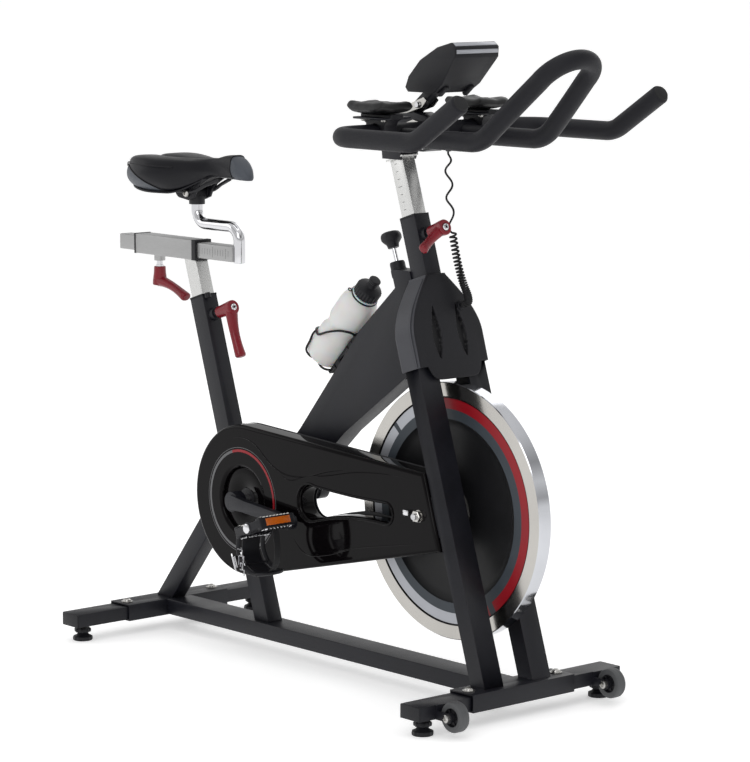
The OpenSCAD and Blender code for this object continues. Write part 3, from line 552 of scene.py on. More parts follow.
def shroud():
    """A flared cowl over the fork's crown, with two flame-shaped hollows in its front."""
    rows, cols, front = 96, 176, 0.80
    z_top = 0.7590
    verts = []
    for i in range(rows + 1):
        for k in range(cols + 1):
            s = -1 + 2 * k / cols
            edge = abs(s)
            z_low = 0.6020 - 0.0245 * max(0.0, 1 - (edge * 0.068 / 0.0415) ** 8)
            z = z_top + (z_low - z_top) * i / rows
            w = shroud_half(z)
            if edge < front:
                y = w * edge / front * 0.985
                out = 0.0262 + 0.0022 * (1 - (edge / front) ** 2) + 0.0012 * sin(pi * i / rows)
                out -= 0.0036 * max(0.0, (y - (w - 0.006)) / 0.006) ** 2
                hollow = flame(z)
                if hollow:
                    inside = 1 - abs(y - (0.0275 + 0.004 * hollow[0])) / max(hollow[1], 1e-5)
                    out -= 0.0062 * max(0.0, min(1.0, inside * 4.0))
            else:
                b = (edge - front) / (1 - front)
                y = w * (0.985 + 0.015 * min(1, b * 6))
                out = 0.0232 - 0.0450 * b
            verts.append(fork_point(z, out, copysign(y, s)))

    # The flanks take the lighter grey, a painted highlight.
    def mat_of(poly):
        q = poly.center - Vector((FORK_X, 0, TUBE_FOOT))
        z = TUBE_FOOT + q.dot(UP) * cos(LEAN)
        if abs(q.y) > 0.972 * shroud_half(z):
            return 1
        hollow = flame(z)
        # The flame hollows take the darker disc black: painted shade in the recesses.
        return 2 if hollow and abs(abs(q.y) - 0.0275 - 0.004 * hollow[0]) < 0.93 * hollow[1] else 0

    cowl = add("head_shroud_shape", verts, grid(rows, cols, flip=True), "frame", "moulded side disc", mat_of,
        angle=40)
    wall(cowl, 0.0022, -1)
    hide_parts("head_shroud")
    # Beads along the flanks' front edges in the lighter grey: a painted highlight.
    for s, word in SIDES:
        pts = []
        for i in range(25):
            z = 0.752 + (0.604 - 0.752) * i / 24
            pts.append(fork_point(z, 0.0205, s * (shroud_half(z) + 0.0002)))
        tube(f"shroud_edge_highlight_{word}", pts, 0.0012, "frame", "side", sides=8, round_end=0.0008)


# ---- Belt guard
CRANK = (-0.174, 0.307)
AXLE = (0.324, 0.346)


def guard_outline():
    r0, r1, front = 0.143, 0.068, AXLE[0] + 0.0535
    dx, dz = AXLE[0] - 0.014 - CRANK[0], AXLE[1] + 0.012 - CRANK[1]
    b = degrees(atan2(dz, dx))
    g = degrees(acos((r0 - r1) / hypot(dx, dz)))
    back = arc(*CRANK, r0, b + g, b + 360 - g, 72)
    return back + [(front, AXLE[1] - 0.058), (front - 0.043, AXLE[1] + 0.078)]


def keyhole(grow):
    loop = arc(0.024, 0.329, 0.031 + grow, 60, 300, 40)
    loop += [(0.094, 0.316 - grow), (0.132, 0.324 - grow), (0.170, 0.326 - grow)]
    loop += arc(0.234, 0.338, 0.017 + grow, -90, 90, 20)
    loop += [(0.170, 0.350 + grow), (0.132, 0.352 + grow), (0.094, 0.356 + grow)]
    ring = [Vector((x, 0, z)) for x, z in loop]
    for _ in range(3):
        ring = [(ring[i - 1] + 2 * ring[i] + ring[(i + 1) % len(ring)]) / 4 for i in range(len(ring))]
    return [(p.x, p.z) for p in ring]


def guard():
    outline = guard_outline()
    dish = arc(*CRANK, 0.062, 0, 354, 59)
    face = plate("guard_outer_shape", [outline, keyhole(0), dish], -0.0665, 0.041, 0.007, "frame", "gloss", 5)
    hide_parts("guard_outer")
    c = Vector((CRANK[0], 0, CRANK[1]))
    lathe("guard_dish", mm(62.5, -60, 61, -78, 58, -79.5, 24, -76.5, 22, -75), c, SIDE, "frame", "gloss", 96)
    def mat_of(i, k):
        a = -360 * k / 144
        a = a + 360 if a < -180 else a
        return 1 if -12 < a < 108 else 0

    lathe("guard_ring_line", mm(91.5, -86.8, 91.5, -87.4, 96.5, -87.4, 96.5, -86.8), c, SIDE, "frame",
        "line red:gloss_black", 144, mat_of)
    lathe("guard_ring_edge", mm(99.5, -86.8, 99.5, -87.3, 100.5, -87.3, 100.5, -86.8), c, SIDE, "frame",
        "line:gloss_black", 144)
    crease("guard_crease_upper",
        mm(-245, 400, -190, 425, -140, 420, -85, 385, -30, 372, 60, 384, 150, 402, 240, 410, 325, 408),
        0.0016)
    crease("guard_crease_mid", mm(-62, 372, -34, 364, 10, 374, 70, 392, 130, 404), 0.0014)
    crease("guard_crease_low", mm(-30, 262, 10, 232, 70, 238, 150, 262, 240, 280, 330, 296), 0.0018)
    lip = keyhole(0.0045)
    tube("guard_keyhole_lip", [(x, -0.0872, z) for x, z in lip + lip[:1]], 0.0022, "frame", "gloss", sides=12)
    start, end = Vector((-0.190, 0, 0.4485)), Vector((0.333, 0, 0.4225))
    for k, y in enumerate((-0.079, -0.070)):
        line = [start.lerp(end, i / 12) + Vector((0, y, -0.0002 * sin(pi * i / 12))) for i in range(13)]
        tube(f"guard_ridge_{k}", line, 0.0016, "frame", "gloss", sides=10, round_end=0.001)
    rounded("guard_inner", "moulded", 0.0006, 2)
    for k, (x, z) in enumerate(mm(-174, 436, -300, 307, -174, 178, 60, 226, 60, 412)):
        bolt(f"guard_screw_{k}", (x, -0.0436, z), (0, 1, 0), 0.0035, "frame", "zinc")


def crease(name, points, r):
    path = smooth_path([(x, -0.0864, z) for x, z in points], 8)
    n = len(path) - 1
    radii = [max(0.0003, r * sin(pi * i / n) ** 0.5) for i in range(n + 1)]
    tube(name, path, radii, "frame", "gloss", sides=10)


# ---- Saddle
SADDLE_REAR, SADDLE_LEN = -0.574, 0.325
CROWN, NOSE_SEAM = 0.62, 0.875


def saddle_section(t):
    """Half width, top height, skirt height and groove depth at t along the saddle, from rear to nose."""
    if t < 0.25:
        w = 0.017 + 0.069 * sqrt(max(0, 1 - ((0.25 - t) / 0.27) ** 2))
    else:
        w = 0.017 + 0.069 * 0.5 * (1 + cos(pi * min(1, (t - 0.25) / 0.52)))
    w += 0.004 * exp(-((t - 0.93) / 0.08) ** 2)
    if t < 0.05:
        w *= 0.72 + 0.28 * sqrt(1 - (1 - t / 0.05) ** 2)
    if t > 0.90:
        w *= sqrt(max(0.05, 1 - ((t - 0.90) / 0.102) ** 2))
    top = 0.936 + 0.005 * exp(-((t - 0.17) / 0.15) ** 2) + 0.0105 * exp(-((t - 0.84) / 0.12) ** 2)
    if t < 0.10:
        top -= 0.026 * (1 - t / 0.10) ** 2
    if t > 0.84:
        top -= 0.030 * ((t - 0.84) / 0.16) ** 2.6
    ease = max(0.0, min(1.0, (t - 0.40) / 0.33))
    skirt = 0.8645 + 0.0360 * ease * ease * (3 - 2 * ease)
    if t < 0.3:
        skirt += 0.012 * (1 - t / 0.3) ** 2
    groove = 0.011 * exp(-((t - 0.30) / 0.30) ** 4)
    return w, top, skirt, groove


def skirt_y(w, b):
    """Half width on the skirt, from its top edge at b = 0 to its hem at 1."""
    return w * (0.93 + 0.07 * sin(pi * min(1, b * 1.1)) - 0.30 * b ** 3)


def saddle_point(t, s, grooved=True):
    """A point on the cushion's outline at t: s runs from hem to hem over the ridge."""
    w, top, skirt, groove = saddle_section(t)
    drop = min(0.016, 0.45 * (top - skirt))
    a = abs(s)
    if a < CROWN:
        y = w * 0.93 * sin(pi / 2 * a / CROWN)
        z = top - drop * (a / CROWN) ** 3
        if grooved:
            z -= groove * exp(-(y / 0.010) ** 2)
    else:
        b = (a - CROWN) / (1 - CROWN)
        y = skirt_y(w, b)
        z = top - drop + (skirt - top + drop) * b
    return SADDLE_REAR + SADDLE_LEN * t, copysign(y, s), z


def saddle():
    stations, around = 56, 40
    verts = [saddle_point(i / stations,
        -1 + 2 * k / around) for i in range(stations + 1) for k in range(around + 1)]
    row = around + 1
    faces = grid(stations, around)
    faces.append([k for k in range(row)][::-1])
    faces.append([stations * row + k for k in range(row)])
    faces += [[i * row, i * row + around, (i + 1) * row + around, (i + 1) * row] for i in range(stations)]

    def mat_of(poly):
        t = (poly.center.x - SADDLE_REAR) / SADDLE_LEN
        return 1 if t > NOSE_SEAM or t < 0.004 else 0

    cushion = add("saddle_cushion_shape", verts, faces, "saddle", "leather panel", mat_of, angle=70)
    inflate(cushion, 0.6, 0.0045)
    subdivide(cushion)
    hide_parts("saddle_cushion")
    seam = [saddle_point(NOSE_SEAM, -1 + 2 * k / 24, grooved=False) for k in range(25)]
    tube("saddle_nose_seam", [(x, y, z + 0.0012) for x, y, z in seam], 0.0012, "saddle", "leather", sides=8)
    for s, word in SIDES:
        side_panel(cushion, s, word)
        pts = []
        for k in range(15):
            t = 0.05 + 0.42 * k / 14
            w, top = saddle_section(t)[:2]
            pts.append((SADDLE_REAR + SADDLE_LEN * t, s * (0.93 * w + 0.0005), top - 0.0165))
        tube(f"saddle_piping_{word}", smooth_path(pts, 3), 0.0014, "saddle", "leather", sides=8)


def side_panel(cushion, s, word):
    """The grey panel sewn on the cushion's lower rear side, laid over its surface, with a piped seam."""
    rows, cols = 20, 26
    verts, seam = [], []
    for i in range(rows + 1):
        b = 0.02 + 0.95 * i / rows
        end = 0.045 + 0.37 * b ** 0.9
        for k in range(cols + 1):
            t = 0.006 + (end - 0.006) * k / cols
            w, top, skirt = saddle_section(t)[:3]
            p = Vector((SADDLE_REAR + SADDLE_LEN * t, s * skirt_y(w, b),
                top - 0.016 + (skirt - top + 0.016) * b))
            at, normal = cushion.closest_point_on_mesh(p)[1:3]
            verts.append(at + normal * 0.0006)
        seam.append(verts[-1].copy())
    faces = [q if s < 0 else q[::-1] for q in grid(rows, cols)]
    add(f"saddle_panel_{word}", verts, faces, "saddle", "panel", angle=70)
    tube(f"saddle_seam_{word}", seam, 0.0011, "saddle", "leather", sides=8, round_end=0.0006)


def saddle_pan():
    """The moulded pan closing the cushion from below, with two rails down to the clamp."""
    rows, cols = 44, 16
    verts = []
    for i in range(rows + 1):
        t = 0.015 + 0.965 * i / rows
        w, _, skirt, _ = saddle_section(t)
        x = SADDLE_REAR + SADDLE_LEN * t
        for k in range(cols + 1):
            s = -1 + 2 * k / cols
            verts.append(Vector((x, s * w * 0.74, skirt + 0.004 + 0.006 * (1 - s * s))))
    pan = add("saddle_pan", verts, grid(rows, cols), "saddle", "moulded", angle=50)
    wall(pan, 0.003, 0)
    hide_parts("saddle_base")
    for s, word in SIDES:
        ear = mm(-452, 862, -446, 858, -416, 854, -398, 860, -392, 872, -378, 886, -352, 900, -470, 892, -462,
            874)
        plate(f"saddle_ear_{word}", [ear], s * 0.0195, 0.006, 0.0016, "saddle", "moulded", 2)
        rail = [(-0.470, s * 0.030, 0.884), (-0.450, s * 0.026, 0.872), (-0.400, s * 0.024, 0.872),
            (-0.365, s * 0.020, 0.886), (-0.330, s * 0.013, 0.898)]
        tube(f"saddle_rail_{word}", smooth_path(rail, 6), 0.0036, "saddle", "moulded", sides=14,
            round_end=0.001)
        lathe(f"saddle_serration_{word}", mm(0, 0, 12.5, 0, 13.5, 1, 13.5, 6, 12, 7.5, 0, 7.5),
            (-0.416, s * 0.0160, 0.868), (0, s, 0), "saddle", "moulded", 24, angle=20)


def inflate(obj, pressure, cap):
    """Blows a closed cloth form up a little, keeps each point within cap, and applies the result."""
    rest = [v.co.copy() for v in obj.data.vertices]
    cloth = obj.modifiers.new("cloth", "CLOTH")
    st = cloth.settings
    st.use_pressure = True
    st.uniform_pressure_force = pressure
    st.effector_weights.gravity = 0
    st.quality = 4
    st.tension_stiffness = st.compression_stiffness = 25
    st.bending_stiffness = 3
    scene = bpy.context.scene
    for f in range(1, 17):
        scene.frame_set(f)
    apply_modifiers(obj)
    for v, r in zip(obj.data.vertices, rest):
        d = v.co - r
        if d.length > cap:
            v.co = r + d * (cap / d.length)
    scene.frame_set(1)


# ---- Elbow pads
def elbow_pads():
    for s, word in SIDES:
        cx, cy, z0 = 0.252, 0.116 * s, 1.0548
        nx, ny = 34, 26
        verts = []
        for layer in (1, 0):
            for i in range(nx + 1):
                for j in range(ny + 1):
                    a, b = -1 + 2 * i / nx, -1 + 2 * j / ny
                    k = (abs(a) ** 4 + abs(b) ** 4) ** 0.25
                    m = max(abs(a), abs(b)) / k if k > 0 else 1
                    px, py = 0.056 * a * m, 0.042 * b * m
                    rim = max(0.0, 1 - max(abs(a), abs(b)) ** 6) ** 0.5
                    curl = 0.006 * abs(a) ** 3 + 0.003 * abs(b) ** 2
                    top = 0.014 * rim + curl - 0.003 * (1 - a * a) * (1 - b * b)
                    z = z0 + 0.006 + (top if layer else -0.006 * rim + curl * 0.9)
                    verts.append(Vector((cx + px, cy + py, z)))
        row, size = ny + 1, (nx + 1) * (ny + 1)
        faces = grid(nx, ny) + [f[::-1] for f in grid(nx, ny, start=size)]
        rim = ([i * row for i in range(nx + 1)] + [nx * row + j for j in range(1,
            ny + 1)] + [i * row + ny for i in range(nx - 1, -1, -1)] + [j for j in range(ny - 1, 0, -1)])
        for p, q in zip(rim, rim[1:] + rim[:1]):
            faces.append([p, q, size + q, size + p])
        pad = add(f"elbow_pad_{word}_shape", verts, faces, "handlebars", "pad", angle=80)
        inflate(pad, 0.9, 0.0035)
        for v in pad.data.vertices:
            p = v.co
            wr = noise.noise(Vector((p.x * 30, p.y * 38, 3.1 * s))) + 0.4 * noise.noise(Vector((p.x * 90,
                p.y * 70, 7.7)))
            v.co.z += 0.0026 * wr * max(0.0, min(1.0, (p.z - z0) / 0.010))
        subdivide(pad)
        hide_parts("elbow_pads")
        pad_support(word, cy)


def pad_support(word, cy):
    """The moulded support that curls over the bar and carries the pad's plate."""
    side = mm(-40.5, 1046.5, -40.5, 1054.5, 40.5, 1054.5, 40.5, 1046.5, 27, 1042, 23.5, 1034, 24, 1008, 21.5,
        1003.5, 16, 1004.5)
    side += arc(-0.003, 1.020, 0.0174, -40, 220, 13)
    side += mm(-21.5, 1004.5, -26, 1006, -27.5, 1012, -26.5, 1038)
    loop = [(0.258 + x, z) for x, z in side]
    plate(f"elbow_support_{word}", [loop], cy, 0.030, 0.0022, "handlebars", "moulded")
    for e in (-0.026, 0.028):
        lathe(f"elbow_screw_{word}_{'rear' if e < 0 else 'front'}", mm(4.5, 1, 4.5, -3, 3, -4.2, 0, -4.2),
            (0.258 + e, cy - 0.021, 1.0462), (0, 0, 1), "handlebars", "zinc", 20)


# ---- Handlebars
def handlebars():
    bar_x, bar_z, horn_y, corner = 0.255, 1.020, 0.237, 0.060
    horn_x, loop_x, bend, tip = 0.458, 0.441, 0.070, 0.110

    def side(s):
        pts = [(bar_x, s * (horn_y - corner), bar_z)]
        for k in range(1, 13):
            a = radians(90 * k / 12)
            pts.append((bar_x + corner * (1 - cos(a)), s * (horn_y - corner + corner * sin(a)), bar_z))
        rise = radians(32)
        for k in range(13):
            a = rise * k / 12
            pts.append((horn_x + bend * sin(a), s * horn_y, bar_z + bend * (1 - cos(a))))
        x, z = pts[-1][0], pts[-1][2]
        for k in range(1, 9):
            d = tip * k / 8
            pts.append((x + d * cos(rise), s * horn_y, z + d * sin(rise)))
        return pts

    left, right = side(1), side(-1)
    bar = tube("handlebar_shape", left[::-1] + right, BAR_R, "handlebars", "dipped", sides=40,
        round_end=0.004, angle=60)
    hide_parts("handlebar")
    for word, pts in (("left", left), ("right", right)):
        d = (Vector(pts[-1]) - Vector(pts[-2])).normalized()
        lathe(f"grip_end_{word}", mm(14.2, -4, 14.2, 4.6, 13.2, 6.2, 6, 7.2, 0, 7.4), Vector(pts[-1]), d,
            "handlebars", "rubber", 40)
    y0, low, rise, z0, front = 0.055, 0.073, radians(41.8), 1.012, 0.648
    run = (front - BAR_R - loop_x - bend * sin(rise)) / cos(rise) - y0
    bx, bz = loop_x + bend * sin(rise), z0 + bend * (1 - cos(rise))
    half = [(bar_x, low, z0), (0.30, low, z0), (0.35, low, z0), (0.40, low, z0)]
    half += [(loop_x + bend * sin(rise * k / 10), low,
        z0 + bend * (1 - cos(rise * k / 10))) for k in range(11)]
    for k in range(1, 7):
        ease = (k / 6) ** 1.15
        half.append((bx + run * k / 6 * cos(rise), low + (y0 - low) * ease, bz + run * k / 6 * sin(rise)))
    for k in range(1, 17):
        a = radians(90 * k / 16)
        d = run + y0 * sin(a)
        half.append((bx + d * cos(rise), y0 * cos(a), bz + d * sin(rise)))
    loop = half + [(x, -y, z) for x, y, z in half[-2::-1]]
    ring = tube("handlebar_loop_shape", loop, BAR_R, "handlebars", "dipped", sides=40, angle=60)
    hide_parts("handlebar_loop")


def stem_parts():
    """Bracket plates, nuts and the clamp between the post and the bars."""
    ring = mm(200, 1002, 204, 984, 226, 982, 262, 1000, 270, 1018, 262, 1034, 236, 1040, 206, 1030)
    for s, word in SIDES:
        plate(f"stem_plate_{word}", [ring], s * 0.0232, 0.003, 0.0008, "handlebars", "zinc", 2)
        for k, (x, z) in enumerate(((0.218, 0.998), (0.222, 1.024))):
            lathe(f"stem_nut_{word}_{k}", mm(5, 0, 9.8, 0.4, 10, 5.2, 8.6, 6.8, 5.2, 7, 4.6, 10.5, 0, 11),
                (x, s * 0.0246, z), (0, s, 0), "handlebars", "chrome:zinc", 6, angle=20)
    arm = mm(176, 1040, 212, 1050, 250, 1062, 262, 1074, 254, 1080, 214, 1066, 178, 1052)
    for s, word in SIDES:
        plate(f"console_plate_{word}", [arm], s * 0.0140, 0.002, 0.0006, "handlebars", "zinc", 2)
        lathe(f"console_bolt_{word}", mm(6.4, 0, 6.6, 3, 5, 4.6, 0, 5), (0.240, s * 0.0148, 1.066), (0, s, 0),
            "handlebars", "chrome:zinc", 6, angle=20)
    block("loop_clamp", (0.292, -0.030, 0.9985), (0.030, 0.046, 0.016), LEVEL, "handlebars", "moulded", 0.003)
    lathe("loop_clamp_bolt", mm(7.8, -1, 7.8, 3.5, 6.2, 5.5, 3, 6, 0, 6), (0.292, -0.0530, 0.9990),
        (0, -1, 0), "handlebars", "chrome:zinc", 28)
    block("post_flange", on_tube(FORK_X, 0.968), (0.046, 0.040, 0.003), (OUT, SIDE, UP), "handlebars", "post",
        0.0008)


def post_marks(name, top, count, body, half_w, offset):
    """Engraved height lines on a post's rear right edge, without numbers."""
    for k in range(count):
        c = top - UP * 0.014 * k - SIDE * half_w + OUT * offset
        long = 0.010 if k % 5 == 0 else 0.006
        block(f"{name}_{k}", c, (long, 0.0003, 0.0008), (OUT, SIDE, UP), body, "disc:chrome", 0.0001, 1)


# ---- Levers
def lever(name, base, axis, along_arm, hub0, hub1, length, droop, girth=1.0):
    """A chrome stud, a tapered hub, an arm that sweeps out of its end, and a screw in the hub's face."""
    base, axis, along_arm = Vector(base), Vector(axis).normalized(), Vector(along_arm).normalized()
    body = body_of_node(name)
    hub = [(0, hub0), (0.0106, hub0), (0.0115, hub0 + 0.001), (0.0120, hub0 + 0.012), (0.0142, hub1 - 0.008),
        (0.0142, hub1 - 0.0015), (0.0128, hub1), (0.0078, hub1), (0.0074, hub1 - 0.0016), (0, hub1 - 0.0016)]
    shape = lathe(name + "_hub", hub, base, axis, body, "lever", 48, angle=30)
    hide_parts(name)
    start = base + axis * (hub1 - 0.0085)
    direction = (along_arm * cos(droop) + axis * sin(droop)).normalized()
    path, radii = [], []
    for k in range(15):
        t = k / 14
        sag = -0.004 * sin(pi * t)
        path.append(start + direction * length * t + axis * sag)
        radii.append(girth * (0.0140 - 0.0050 * sin(pi * min(1, t * 1.2) / 2) + 0.0026 * t ** 3))
    tube(name + "_arm", path, radii, body, "lever", sides=28, flat=0.78, up=axis, round_end=0.005, angle=60)
    lathe(name + "_stud", [(0, 0), (0.004, 0), (0.004, 0.006), (0.0062, 0.0062), (0.0062, hub0 - 0.004),
        (0.0075, hub0 - 0.0036), (0.0075, hub0)], base, axis, body, "chrome:zinc", 24)
    face = base + axis * (hub1 - 0.0016)
    lathe(name + "_screw", mm(6.6, 0, 6.6, 2.4, 5.6, 3.6, 2.4, 4.2, 2.2, 2.2, 0, 2.2), face, axis, body,
        "chrome:zinc", 32, angle=40)
    # Two near-black bars cross the screw's head: painted shade standing in for its cross recess.
    for turn in (0, 90):
        d = Matrix.Rotation(radians(turn + 20), 3, axis) @ along_arm
        block(f"{name}_slot_{turn}", face + axis * 0.0036, (0.0088, 0.0014, 0.0014), (d, axis.cross(d), axis),
            body, "disc:zinc", 0.0002, 1)


def levers():
    lever("slider_lever", (-0.536, 0, 0.7424), (0, 0, -1), (1, 0, 0), 0.027, 0.064, 0.084, radians(17))
    reach, a = OUT * 0.0174, radians(58)
    lever("seat_lever", on_tube(SEAT_X, 0.629) + reach, OUT, -UP, 0.022, 0.068, 0.092, 0)
    lever("head_lever", on_tube(FORK_X, 0.829) + reach, OUT, -UP * cos(a) - SIDE * sin(a), 0.018, 0.058,
        0.064, 0, 0.82)


# ---- Pedals
def pedal(side):
    s = -1 if side == "right" else 1
    t = radians(5)
    c = Vector((CRANK[0] - s * 0.170 * cos(t), 0, CRANK[1] + s * 0.170 * sin(t)))
    tilt = radians(22)
    fwd = Vector((cos(tilt), 0, sin(tilt)))
    up = Vector((-sin(tilt), 0, cos(tilt)))
    body = "pedal_" + side

    def at(x, y, z):
        return c + fwd * x + up * z + SIDE * (s * y)

    axes = (fwd, SIDE, up)
    core = lathe(f"{body}_core",
        mm(0, 126, 10.5, 126, 11.2, 130, 9.5, 140, 9.5, 196, 11.5, 204, 11.5, 211, 8, 213, 0, 213), c,
        SIDE * s, body, "moulded", 40)
    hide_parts(body)
    lathe(f"{body}_spindle", mm(0, 102, 6.8, 102, 7, 118, 7.8, 119, 7.8, 125, 6.8, 126, 6.6, 130), c,
        SIDE * s, body, "zinc", 32)
    lathe(f"{body}_cap", mm(8.8, 212.5, 8.8, 214.5, 7.4, 215.5, 0, 215.8), c, SIDE * s, body, "chrome:zinc",
        32)
    for k, x in enumerate((-0.035, 0.035)):
        block(f"{body}_rail_{k}", at(x, 0.170, 0), (0.011, 0.078, 0.021), axes, body, "moulded", 0.003)
        block(f"{body}_reflector_{k}", at(x * 1.16, 0.170, 0.0005), (0.004, 0.056, 0.0135), axes, body,
            "amber", 0.001)
        for e in (0.134, 0.206):
            block(f"{body}_lug_{k}_{e * 1000:.0f}", at(x * 0.94, e, 0), (0.014, 0.010, 0.023), axes, body,
                "moulded", 0.003)
        for tooth in range(9):
            for word, z, key in (("tooth", 0.0108, "zinc"), ("stud", -0.0108, "chrome:zinc")):
                block(f"{body}_{word}_{k}_{tooth}", at(x * 0.93, 0.138 + 0.008 * tooth, z),
                    (0.008, 0.0034, 0.004), axes, body, key, 0.0008, 1)
    for k, y in enumerate((0.133, 0.153, 0.187, 0.208)):
        block(f"{body}_web_{k}", at(0, y, 0), (0.070, 0.007, 0.016), axes, body, "moulded", 0.002)
    for k, y in enumerate((0.141, 0.199)):
        pts = [at(x, y, z) for x, z in mm(-44, -4, -54, -20, -57.5, -38, -52, -60, -38, -76, -20, -84)]
        tube(f"{body}_cage_{k}", smooth_path(pts, 5), 0.0042, body, "moulded", sides=12, flat=0.6,
            round_end=0.001)
    tip = [at(*p) for p in mm(-20, 141, -84, -14, 150, -86, -12, 170, -87, -14, 190, -86, -20, 199, -84,
        per=3)]
    tube(f"{body}_cage_tip", smooth_path(tip, 5), 0.0046, body, "moulded", sides=12, flat=0.7,
        round_end=0.001)
    shell = [at(x, 0.171, z) for x, z in mm(-46, -10, -57.5, -36, -53, -59, -39, -75, -22, -83)]
    ribbon(f"{body}_cage_web", smooth_path(shell, 5), 0.040, 0.0022, body, "moulded")
    mid = [at(-0.053, 0.141, -0.058), at(-0.054, 0.170, -0.060), at(-0.053, 0.199, -0.058)]
    tube(f"{body}_cage_bar", smooth_path(mid, 6), 0.004, body, "moulded", sides=12, flat=0.6)
    strap = [at(x, 0.171, z) for x, z in mm(-26, -86, -6, -81, 12, -66, 23, -40, 28, -12, 30, 2)]
    ribbon(f"{body}_strap", smooth_path(strap, 6), 0.014, 0.0018, body, "rubber")
    b = at(-0.048, 0.208, -0.050)
    block(f"{body}_buckle", b - fwd * 0.003, (0.018, 0.018, 0.0034), (up, SIDE, fwd), body, "chrome:zinc",
        0.0012)
    for k in range(2):
        tube(f"{body}_buckle_wire_{k}",
            [b - fwd * 0.005 + SIDE * (0.011 * (2 * k - 1)) + up * e for e in (-0.016, -0.006, 0.006, 0.016)],
            0.0016, body, "chrome:zinc", sides=10, round_end=0.001)
    for k in range(4):
        p = at(-0.050 + 0.004 * k, 0.206 + 0.003 * (k % 2), -0.078 + 0.012 * k)
        tube(f"{body}_clip_{k}", [p, p + up * 0.010 + SIDE * 0.004, p + up * 0.014 - fwd * 0.006], 0.0013,
            body, "chrome:zinc", sides=8, round_end=0.0008)


def ribbon(name, path, width, thick, body, mats):
    """A flat strip that follows a path, its width along SIDE."""
    verts = []
    for p, t in zip(path, frames_along(path)[0]):
        n = t.cross(SIDE).normalized()
        for a, b in ((-1, -1), (1, -1), (1, 1), (-1, 1)):
            verts.append(p + SIDE * width / 2 * a + n * thick / 2 * b)
    faces = hoops(len(path) - 1, 4) + [[3, 2, 1, 0], [4 * len(path) - 4 + k for k in range(4)]]
    return add(name, verts, faces, body, mats, angle=45)


# ---- Bottle and cage
BOTTLE_FOOT = Vector((-0.038, 0, 0.590))
BOTTLE_AXIS = Vector((sin(radians(44)), 0, cos(radians(44))))


def bottle():
    prof = mm(0, 2, 24, 1.5, 27, 0, 32, 0.5, 35.5, 5, 36, 12, 36, 58, 35.5, 63, 32.5, 70, 31.5, 76, 31.5, 84,
        32.5, 90, 35.5, 97, 36, 102, 36, 136, 35, 146, 32, 155, 26.5, 162, 23.5, 165.5, 22.5, 167, 22.5, 174,
        18, 174)
    shape = lathe("bottle_shape", prof, BOTTLE_FOOT, BOTTLE_AXIS, "bottle", "milky", 96, angle=50)
    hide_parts("bottle")
    h = 0.171
    rings = [(0.0225, h), (0.0240, h + 0.001), (0.0243, h + 0.016), (0.0228, h + 0.0185),
        (0.0150, h + 0.0215), (0.0105, h + 0.0235), (0.0098, h + 0.0260), (0.0098, h + 0.0330),
        (0.0112, h + 0.0345), (0.0112, h + 0.0390), (0.0095, h + 0.0405), (0.003, h + 0.0409)]

    def ribbed(j, k, r):
        return r + (0.0006 * (1 if (k // 2) % 2 else -1) if j in (1, 2) else 0)

    verts, faces, last = knurled(rings, BOTTLE_FOOT, BOTTLE_AXIS, ribbed)
    cap = add("bottle_cap_shape", verts, faces + [last], "bottle", "moulded", angle=30)
    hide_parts("bottle_cap")
    lathe("bottle_neck_ring", mm(23.2, 168.5, 25, 168.5, 25.4, 169.5, 25.4, 171.2, 23.6, 171.6), BOTTLE_FOOT,
        BOTTLE_AXIS, "bottle", "milky", 64)
    lathe("bottle_strap_ring", mm(23.6, 165.5, 26.2, 165.5, 26.6, 166.2, 26.6, 167.8, 24, 168.4), BOTTLE_FOOT,
        BOTTLE_AXIS, "bottle", "moulded", 64)
    out = (SIDE * -0.80 + BOTTLE_AXIS.cross(SIDE) * 0.60).normalized()
    c = BOTTLE_FOOT + BOTTLE_AXIS * 0.1668 + out * 0.0300
    w = BOTTLE_AXIS.cross(out)
    eye = [c + 0.0034 * (cos(a) * out + sin(a) * w) for a in [pi / 8 * k for k in range(17)]]
    tube("bottle_strap_eye", eye, 0.0011, "bottle", "moulded", sides=10)


def cage():
    """A bent wire cage on a backbone strip along the down tube."""
    a = radians(44)
    u = Vector((cos(a), 0, -sin(a)))

    def at(angle, h, r=0.0385):
        t = radians(angle)
        return BOTTLE_FOOT + BOTTLE_AXIS * h + r * (cos(t) * u + sin(t) * SIDE)

    spine = block("cage_spine", BOTTLE_FOOT + BOTTLE_AXIS * 0.050 + u * 0.0388, (0.108, 0.015, 0.0032),
        (BOTTLE_AXIS, SIDE, u), "frame", "moulded", 0.0012)
    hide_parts("bottle_cage")
    for h in (0.026, 0.078):
        lathe(f"cage_screw_{h * 1000:.0f}", mm(4.8, 0.4, 4.8, -0.4, 3, -0.7, 0, -0.7), at(0, h, 0.0380), u,
            "frame", "zinc", 20)
        block(f"cage_boss_{h * 1000:.0f}", at(0, h, 0.0480), (0.016, 0.016, 0.017), (BOTTLE_AXIS, SIDE, u),
            "frame", "moulded", 0.002)
    for s, word in SIDES:
        pts = [at(s * 8, 0.100, 0.0392), at(s * 30, 0.104), at(s * 58, 0.096), at(s * 84, 0.074),
            at(s * 104, 0.052), at(s * 128, 0.046), at(s * 150, 0.040), at(s * 176, 0.034)]
        tube(f"cage_wire_{word}", smooth_path(pts, 8), 0.0021, "frame", "moulded", sides=12, round_end=0.001)
        pts = [at(s * 8, 0.002, 0.0392), at(s * 26, 0.0, 0.0375), at(s * 40, -0.0035, 0.030),
            at(s * 70, -0.0045, 0.020), at(s * 100, -0.0035, 0.030), at(s * 112, 0.004, 0.0385),
            at(s * 122, 0.020), at(s * 140, 0.032), at(s * 176, 0.034)]
        tube(f"cage_foot_{word}", smooth_path(pts, 8), 0.0021, "frame", "moulded", sides=12, round_end=0.001)


